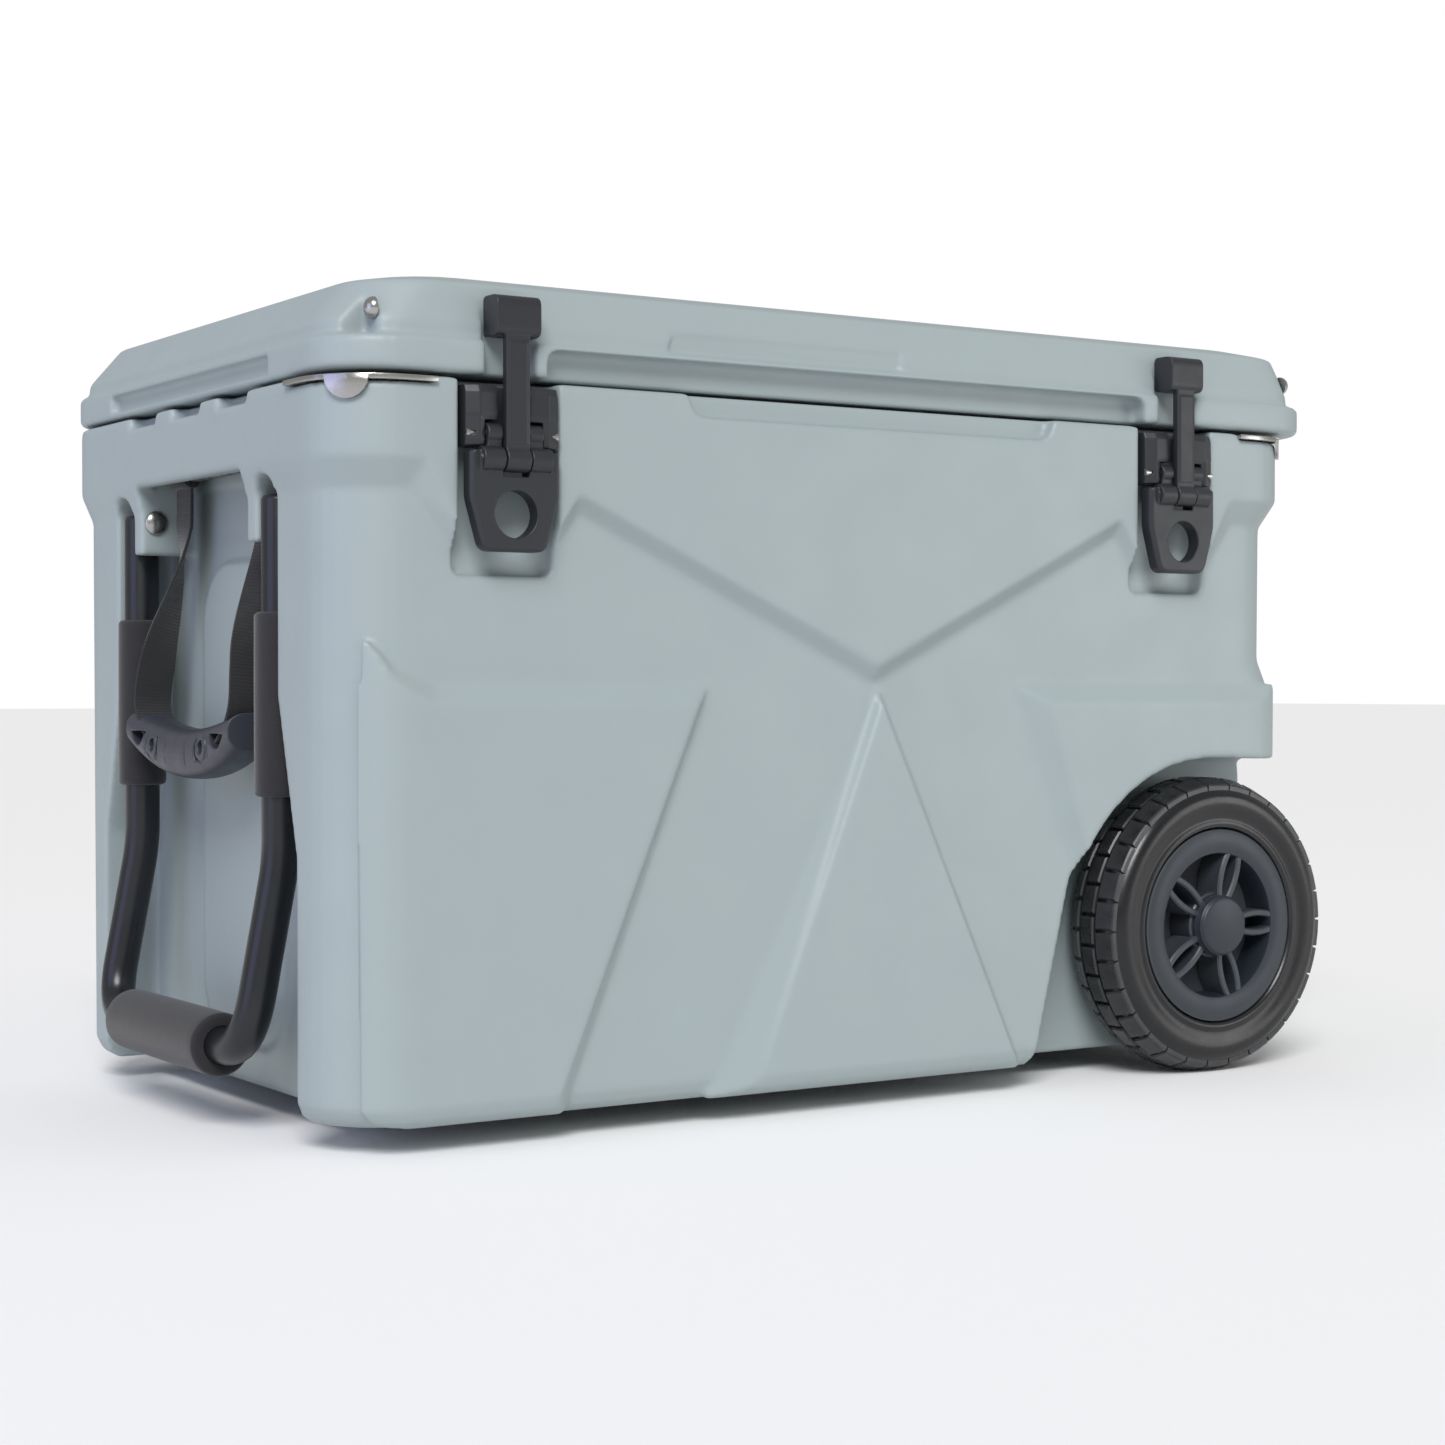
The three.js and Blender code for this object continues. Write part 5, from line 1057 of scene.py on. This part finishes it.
@dataclass
class CarryHandle:
    """A ribbed webbing loop that turns broad side on, held in a moulded smile-shaped grip."""

    rib_pitch: float = 2.1
    rib_depth: float = 0.35
    band: float = 25.0
    thick: float = 3.0
    strand_top: float = 66.0
    strand_grip: float = 77.0
    grip_boss: float = 40.0
    grip_lens: float = 64.0
    grip_seams: tuple[float, ...] = (-52, -16, 16, 52)
    twist_start: float = 30.0
    twist_length: float = 90.0
    grip_section: float = 31.0
    grip_rise: float = 15.0

    def build(self) -> None:
        """Make the webbing and the grip."""
        webbing, grip = span("carry_webbing"), span("carry_grip")
        rod = span("webbing_rod")
        self.rod = Vector((rod.centre.x, (webbing.low.y + webbing.high.y) / 2, rod.centre.z))
        self.grip_x = grip.centre.x
        self.grip_z = grip.low.z + self.grip_section / 2
        self.grip_half = (grip.high.y - grip.low.y) / 2
        dress(self._webbing(), WEBBING, "carry_handle", ["carry_webbing"])
        dress(self._grip(), NYLON, "carry_handle", ["carry_grip"])
        finish_node("webbing_rod", STEEL)

    def _route(self) -> list[Vector]:
        """Evenly spaced points along the loop, from the front strand to the rear one."""
        rod, x, z = self.rod, self.grip_x, self.grip_z
        half = [(rod.x, self.strand_top, rod.z), (rod.x - 1, self.strand_top + 3, rod.z - 50),
                (x + 3, self.strand_grip - 2, z + 60), (x, self.strand_grip, z + self.grip_rise + 14),
                (x, self.strand_grip - 18, z + self.grip_rise - 5), (x, self.strand_grip / 2, z + 2)]
        knots = [Vector((a, rod.y - b, c)) for a, b, c in half]
        knots += [Vector((x, rod.y, z))]
        knots += [Vector((a, rod.y + b, c)) for a, b, c in reversed(half)]
        dense = smooth_route(knots, 40)
        steps = [0.0]
        for a, b in zip(dense, dense[1:]):
            steps.append(steps[-1] + (b - a).length)
        total = steps[-1]
        count = int(total / self.rib_pitch) * 4
        wanted = np.linspace(0, total, count + 1)
        axes = [np.interp(wanted, steps, [p[i] for p in dense]) for i in range(3)]
        return [Vector(p) for p in zip(*axes)]

    def _webbing(self) -> Piece:
        """The loop, with a rounded rib at each thread across the band."""
        route = self._route()
        rings = []
        for i, centre in enumerate(route):
            along = (route[min(i + 1, len(route) - 1)] - route[max(i - 1, 0)]).normalized()
            front = i < len(route) / 2
            drop = min(max((self.rod.z - self.twist_start - centre.z) / self.twist_length, 0.0), 1.0)
            turn = drop * math.pi / 2
            broad = Vector((math.sin(turn), -math.cos(turn) if front else math.cos(turn), 0))
            broad = (broad - along * broad.dot(along)).normalized()
            flat = along.cross(broad).normalized()
            if front:
                broad, flat = -broad, -flat
            half = self.thick / 2 - self.rib_depth * (0.5 - 0.5 * math.cos(i * math.pi / 2))
            wide = self.band / 2
            section = [(wide, 0.0), (wide - 0.6, 0.75), (wide / 2, 1.0), (0.0, 1.0), (-wide / 2, 1.0),
                       (-wide + 0.6, 0.75), (-wide, 0.0), (-wide + 0.6, -0.75), (-wide / 2, -1.0),
                       (0.0, -1.0), (wide / 2, -1.0), (wide - 0.6, -0.75)]
            rings.append([tuple(centre + broad * a + flat * b * half) for a, b in section])
        band = loft("carry_band", rings)
        eyes = []
        for way in (-1, 1):
            middle = self.rod.y + way * self.strand_top
            profile = [(3.5, -self.band / 2), (6.2, -self.band / 2), (6.6, -self.band / 2 + 0.8),
                       (6.6, self.band / 2 - 0.8), (6.2, self.band / 2), (3.5, self.band / 2)]
            eyes.append(revolve("eye", profile, Vector((self.rod.x, middle, self.rod.z)), 40))
        return shade(join("carry_webbing_loop", [band, *eyes]), 50)

    def _grip(self) -> Piece:
        """The grip: a bowed oval bar with a boss, a dark hole, crescent slots and seam lines."""
        rings = []
        steps = 40
        for step in range(steps + 1):
            u = 2 * step / steps - 1
            y = u * self.grip_half
            rise = self.grip_rise * u ** 2
            fade = 1 - 0.28 * abs(u) ** 3.2
            turn = full_turn(32)
            section = []
            for a in turn:
                across = math.copysign(abs(math.cos(a)) ** 0.8, math.cos(a)) * self.grip_section / 2
                up = math.copysign(abs(math.sin(a)) ** 0.8, math.sin(a)) * fade * self.grip_section / 2
                section.append((self.grip_x + across, self.rod.y + y, self.grip_z + rise + up))
            rings.append(section)
        grip = loft("carry_handle_grip", rings)
        face = self.grip_x - self.grip_section / 2
        cutters = []
        for way in (-1, 1):
            middle = self.rod.y + way * self.grip_boss
            cutters.append(self._ring_cutter(face, middle, self.grip_z + 5, 10.0, 8.2, 1.8))
            cutters.append(self._disc_cutter(face, middle, self.grip_z + 5, 4.2, 7.0))
            cutters.append(self._crescent(face, middle - way * 9, way))
            lens = self.rod.y + way * self.grip_lens
            cutters.append(self._lens_cutter(face, lens, self.grip_z + 9, 12, 4.5))
        for place in self.grip_seams:
            seam = self.rod.y + place
            cutters.append(block("seam", (face - 2, face + 1.3), (seam - 0.7, seam + 0.7),
                                 (self.grip_z - 17, self.grip_z + 26)))
        cut = carve(grip, (), cutters)
        return soften(cut, 0.6, 2, 60_000)

    def _disc_cutter(self, face: float, y: float, z: float, radius: float, depth: float) -> Piece:
        """A round cutter that enters the grip's outer face."""
        return rod_x("hole", (face - 3, face + depth), y, z, radius, 28)

    def _ring_cutter(
        self, face: float, y: float, z: float, outer: float, inner: float, depth: float
    ) -> Piece:
        """A cutter for the groove round a boss."""
        turn = full_turn(40)
        section = [(face - 3, outer), (face + depth, outer), (face + depth, inner), (face - 3, inner)]
        rings = [[(x, y + r * math.cos(t), z + r * math.sin(t)) for x, r in section] for t in turn]
        return loft("groove", rings, closed=True)

    def _crescent(self, face: float, y: float, way: int) -> Piece:
        """A cutter for the crescent slot beside a boss."""
        points = []
        for t in np.linspace(-1.1, 1.1, 9):
            points.append((y - way * 5.2 * math.cos(t) + way * 4, self.grip_z + 3 + 8.5 * math.sin(t)))
        for t in np.linspace(1.1, -1.1, 9):
            points.append((y - way * 2.0 * math.cos(t) + way * 4, self.grip_z + 3 + 7.4 * math.sin(t)))
        return loft("crescent", [[(x, a, b) for a, b in points] for x in (face - 3, face + 5)])

    def _lens_cutter(self, face: float, y: float, z: float, half: float, tall: float) -> Piece:
        """A cutter for the lens-shaped opening near each end."""
        upper = [(y + half * c, z + tall * (1 - c * c) + 4 * c * c) for c in np.linspace(-1, 1, 11)]
        lower = [(y + half * c, z - tall * (1 - c * c) + 4 * c * c) for c in np.linspace(0.9, -0.9, 9)]
        return loft("lens", [[(x, a, b) for a, b in [*upper, *lower]] for x in (face - 3, face + 9)])


def smooth_route(knots: Sequence[Vector], steps: int) -> list[Vector]:
    """A Catmull-Rom curve through knots, with centripetal spacing.

    Args:
        knots: the points it passes.
        steps: points in each stretch.

    Returns:
        The points of the curve.
    """
    first = knots[0] * 2 - knots[1]
    last = knots[-1] * 2 - knots[-2]
    line = [first, *knots, last]
    points = []
    for i in range(1, len(line) - 2):
        p = line[i - 1:i + 3]
        t = [0.0]
        for a, b in zip(p, p[1:]):
            t.append(t[-1] + (b - a).length ** 0.5)
        for step in range(steps):
            s = t[1] + (t[2] - t[1]) * step / steps
            a1 = p[0] * ((t[1] - s) / (t[1] - t[0])) + p[1] * ((s - t[0]) / (t[1] - t[0]))
            a2 = p[1] * ((t[2] - s) / (t[2] - t[1])) + p[2] * ((s - t[1]) / (t[2] - t[1]))
            a3 = p[2] * ((t[3] - s) / (t[3] - t[2])) + p[3] * ((s - t[2]) / (t[3] - t[2]))
            b1 = a1 * ((t[2] - s) / (t[2] - t[0])) + a2 * ((s - t[0]) / (t[2] - t[0]))
            b2 = a2 * ((t[3] - s) / (t[3] - t[1])) + a3 * ((s - t[1]) / (t[3] - t[1]))
            points.append(b1 * ((t[2] - s) / (t[2] - t[1])) + b2 * ((s - t[1]) / (t[2] - t[1])))
    return [*points, knots[-1]]


# ------------------------------------------------------------------ small hardware

@dataclass
class Hardware:
    """Plates, studs, bolts, pins, feet, drain and seals."""

    plain_steel: tuple[str, ...] = ("hinge_pin_left", "hinge_pin_right", "axle_front", "axle_rear")
    plain_rubber: tuple[str, ...] = ("drain_gasket", "lid_gasket")

    def build(self) -> None:
        """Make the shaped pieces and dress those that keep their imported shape."""
        for side in ("left", "right"):
            plate = packed_copy(f"rim_plate_{side}", [f"corner_plate_{side}"], 2.0)
            dress(eased(plate, 0.7, 2), STEEL, "tub", [f"corner_plate_{side}"])
            stud = self._dome(f"lid_stud_{side}", f"stud_{side}", 1 if side == "left" else -1)
            dress(stud, STEEL, "lid", [f"lid_stud_{side}"])
        for place, way in (("front", -1), ("rear", 1)):
            dress(self._bolt(place, way), STEEL, "tub", [f"handle_bolt_{place}"])
            foot = soften(packed_copy(f"rest_foot_{place}", [f"foot_{place}"]), 1.2, 2, 12_000)
            dress(foot, SEAL_RUBBER, "tub", [f"foot_{place}"])
        knob = soften(packed_copy("drain_knob", ["drain_plug"]), 0.6, 3, 24_000)
        dress(knob, NYLON, "plug", ["drain_plug"])
        sleeve = soften(packed_copy("drain_sleeve", ["drain_body"]), 0.7, 2, 24_000)
        dress(sleeve, NYLON, "tub", ["drain_body"])
        for node in self.plain_steel:
            finish_node(node, STEEL)
        for node in self.plain_rubber:
            finish_node(node, SEAL_RUBBER)
        for node in ("tub_fill_plug", "lid_fill_plug", "drain_nut"):
            finish_node(node, NYLON)

    def _dome(self, node: str, name: str, way: int) -> Piece:
        """A domed stud head on an upright face that looks along X.

        Args:
            node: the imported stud.
            name: the new object's name.
            way: -1 if the dome looks towards -X, or 1 if towards +X.

        Returns:
            The stud.
        """
        box = span(node)
        tall = box.high.x - box.low.x
        radius = (box.high.y - box.low.y) / 2
        root = box.low.x if way < 0 else box.high.x
        turn = full_turn(40)
        rings = []
        for a in np.linspace(0, math.pi / 2 - 0.02, 9):
            out, r = tall * math.sin(a), radius * math.cos(a)
            rings.append([(root - way * out, box.centre.y + r * math.cos(t), box.centre.z + r * math.sin(t))
                          for t in turn])
        return shade(loft(name, rings), 50)

    def _bolt(self, place: str, way: int) -> Piece:
        """A tow handle pivot bolt: a low dome head on the lug's inner face and a plain shank."""
        box = span(f"handle_bolt_{place}")
        radius = (box.high.x - box.low.x) / 2
        head = box.high.y if way < 0 else box.low.y
        tip = box.low.y if way < 0 else box.high.y
        depth = 3.6
        profile = [(0.0, head)]
        for a in np.linspace(0.15, math.pi / 2, 8):
            profile.append((radius * math.sin(a), head + way * depth * (1 - math.cos(a))))
        profile += [(4.0, head + way * depth), (4.0, tip - way * 0.6), (3.4, tip), (0.0, tip)]
        centre = Vector((box.centre.x, 0, box.centre.z))
        return shade(revolve(f"pivot_bolt_{place}", profile, centre, 48), 40)


# ------------------------------------------------------------------ studio

@dataclass
class Studio:
    """A pale floor, soft lights and a low three-quarter camera."""

    camera_place: Point = (-957.45, -1523.64, 261.75)
    azimuth: float = -32.98
    elevation: float = 0.77
    lens: float = 64.89
    floor_size: float = 60.0
    ambient: float = 0.42
    key_power: float = 2.5
    key_softness: float = 28.0
    key_direction: Point = (0.42, 0.62, -0.66)

    def build(self) -> None:
        """Make the camera first, then the floor and the lights."""
        self._camera()
        self._floor()
        self._backdrop()
        self._sun()
        self._light("fill_left", (-2.6, -0.2, 0.9), 1.6, 11, "#B9BEFF")
        self._light("strip_right", (1.9, -1.9, 0.5), 0.9, 7, "#FFFFFF")
        bpy.context.scene.view_settings.view_transform = "Standard"

    def _backdrop(self) -> None:
        """A white backdrop that lights the cooler less than it shows."""
        world = bpy.data.worlds.new("studio")
        world.use_nodes = True
        tree = world.node_tree
        seen = add_node(tree, "ShaderNodeLightPath").outputs["Is Camera Ray"]
        strength = add_node(tree, "ShaderNodeMath", {0: seen, 1: 1 - self.ambient, 2: self.ambient},
                            operation="MULTIPLY_ADD")
        backdrop = tree.nodes["Background"]
        backdrop.inputs["Color"].default_value = linear_rgb("#FFFFFF")
        tree.links.new(strength.outputs[0], backdrop.inputs["Strength"])
        bpy.context.scene.world = world

    def _sun(self) -> None:
        """The key light: broad and soft, from the upper left in front."""
        data = bpy.data.lights.new("key", "SUN")
        data.energy = self.key_power
        data.angle = math.radians(self.key_softness)
        light = bpy.data.objects.new("key", data)
        light.rotation_mode = "QUATERNION"
        light.rotation_quaternion = Vector(self.key_direction).to_track_quat("-Z", "Y")
        bpy.context.scene.collection.objects.link(light)

    def _camera(self) -> None:
        """A camera just above the middle of the cooler's height, turned to its handle end."""
        data = bpy.data.cameras.new("camera")
        data.lens = self.lens
        data.sensor_width = 36.0
        data.clip_end = 50.0
        camera = bpy.data.objects.new("camera", data)
        a, e = math.radians(self.azimuth), math.radians(self.elevation)
        back = Vector((math.sin(a) * math.cos(e), -math.cos(a) * math.cos(e), math.sin(e)))
        camera.location = Vector(self.camera_place) * MM
        camera.rotation_mode = "QUATERNION"
        camera.rotation_quaternion = (-back).to_track_quat("-Z", "Y")
        bpy.context.scene.collection.objects.link(camera)
        bpy.context.scene.camera = camera

    def _floor(self) -> None:
        """A plain pale floor."""
        half = self.floor_size / 2
        mesh = bpy.data.meshes.new("floor")
        corners = [(-half, -half, 0), (half, -half, 0), (half, half, 0), (-half, half, 0)]
        mesh.from_pydata(corners, [], [(0, 1, 2, 3)])
        floor = bpy.data.objects.new("floor", mesh)
        bpy.context.scene.collection.objects.link(floor)
        material = bpy.data.materials.new("pale_floor_paint")
        material.use_nodes = True
        shader = material.node_tree.nodes["Principled BSDF"]
        shader.inputs["Base Color"].default_value = linear_rgb("#F4F4F4")
        shader.inputs["Roughness"].default_value = 0.9
        mesh.materials.append(material)

    def _light(self, name: str, place: Point, size: float, power: float, colour: str) -> None:
        """A soft square light, in metres, aimed at the middle of the cooler."""
        data = bpy.data.lights.new(name, "AREA")
        data.size = size
        data.energy = power
        data.color = linear_rgb(colour)[:3]
        light = bpy.data.objects.new(name, data)
        light.location = place
        aim = Vector((0, 0, 0.25)) - Vector(place)
        light.rotation_mode = "QUATERNION"
        light.rotation_quaternion = aim.to_track_quat("-Z", "Y")
        bpy.context.scene.collection.objects.link(light)


def main() -> None:
    """Build every piece in order and report it."""
    logging.basicConfig(level=logging.INFO, format="%(name)s %(message)s")
    Studio().build()
    builders: list[Callable[[], None]] = [
        Shells().build,
        Latch("left").build,
        Latch("right").build,
        Wheel("front", -1).build,
        Wheel("rear", 1).build,
        TowHandle().build,
        CarryHandle().build,
        Hardware().build,
    ]
    for build in builders:
        build()


if __name__ == "__main__":
    main()
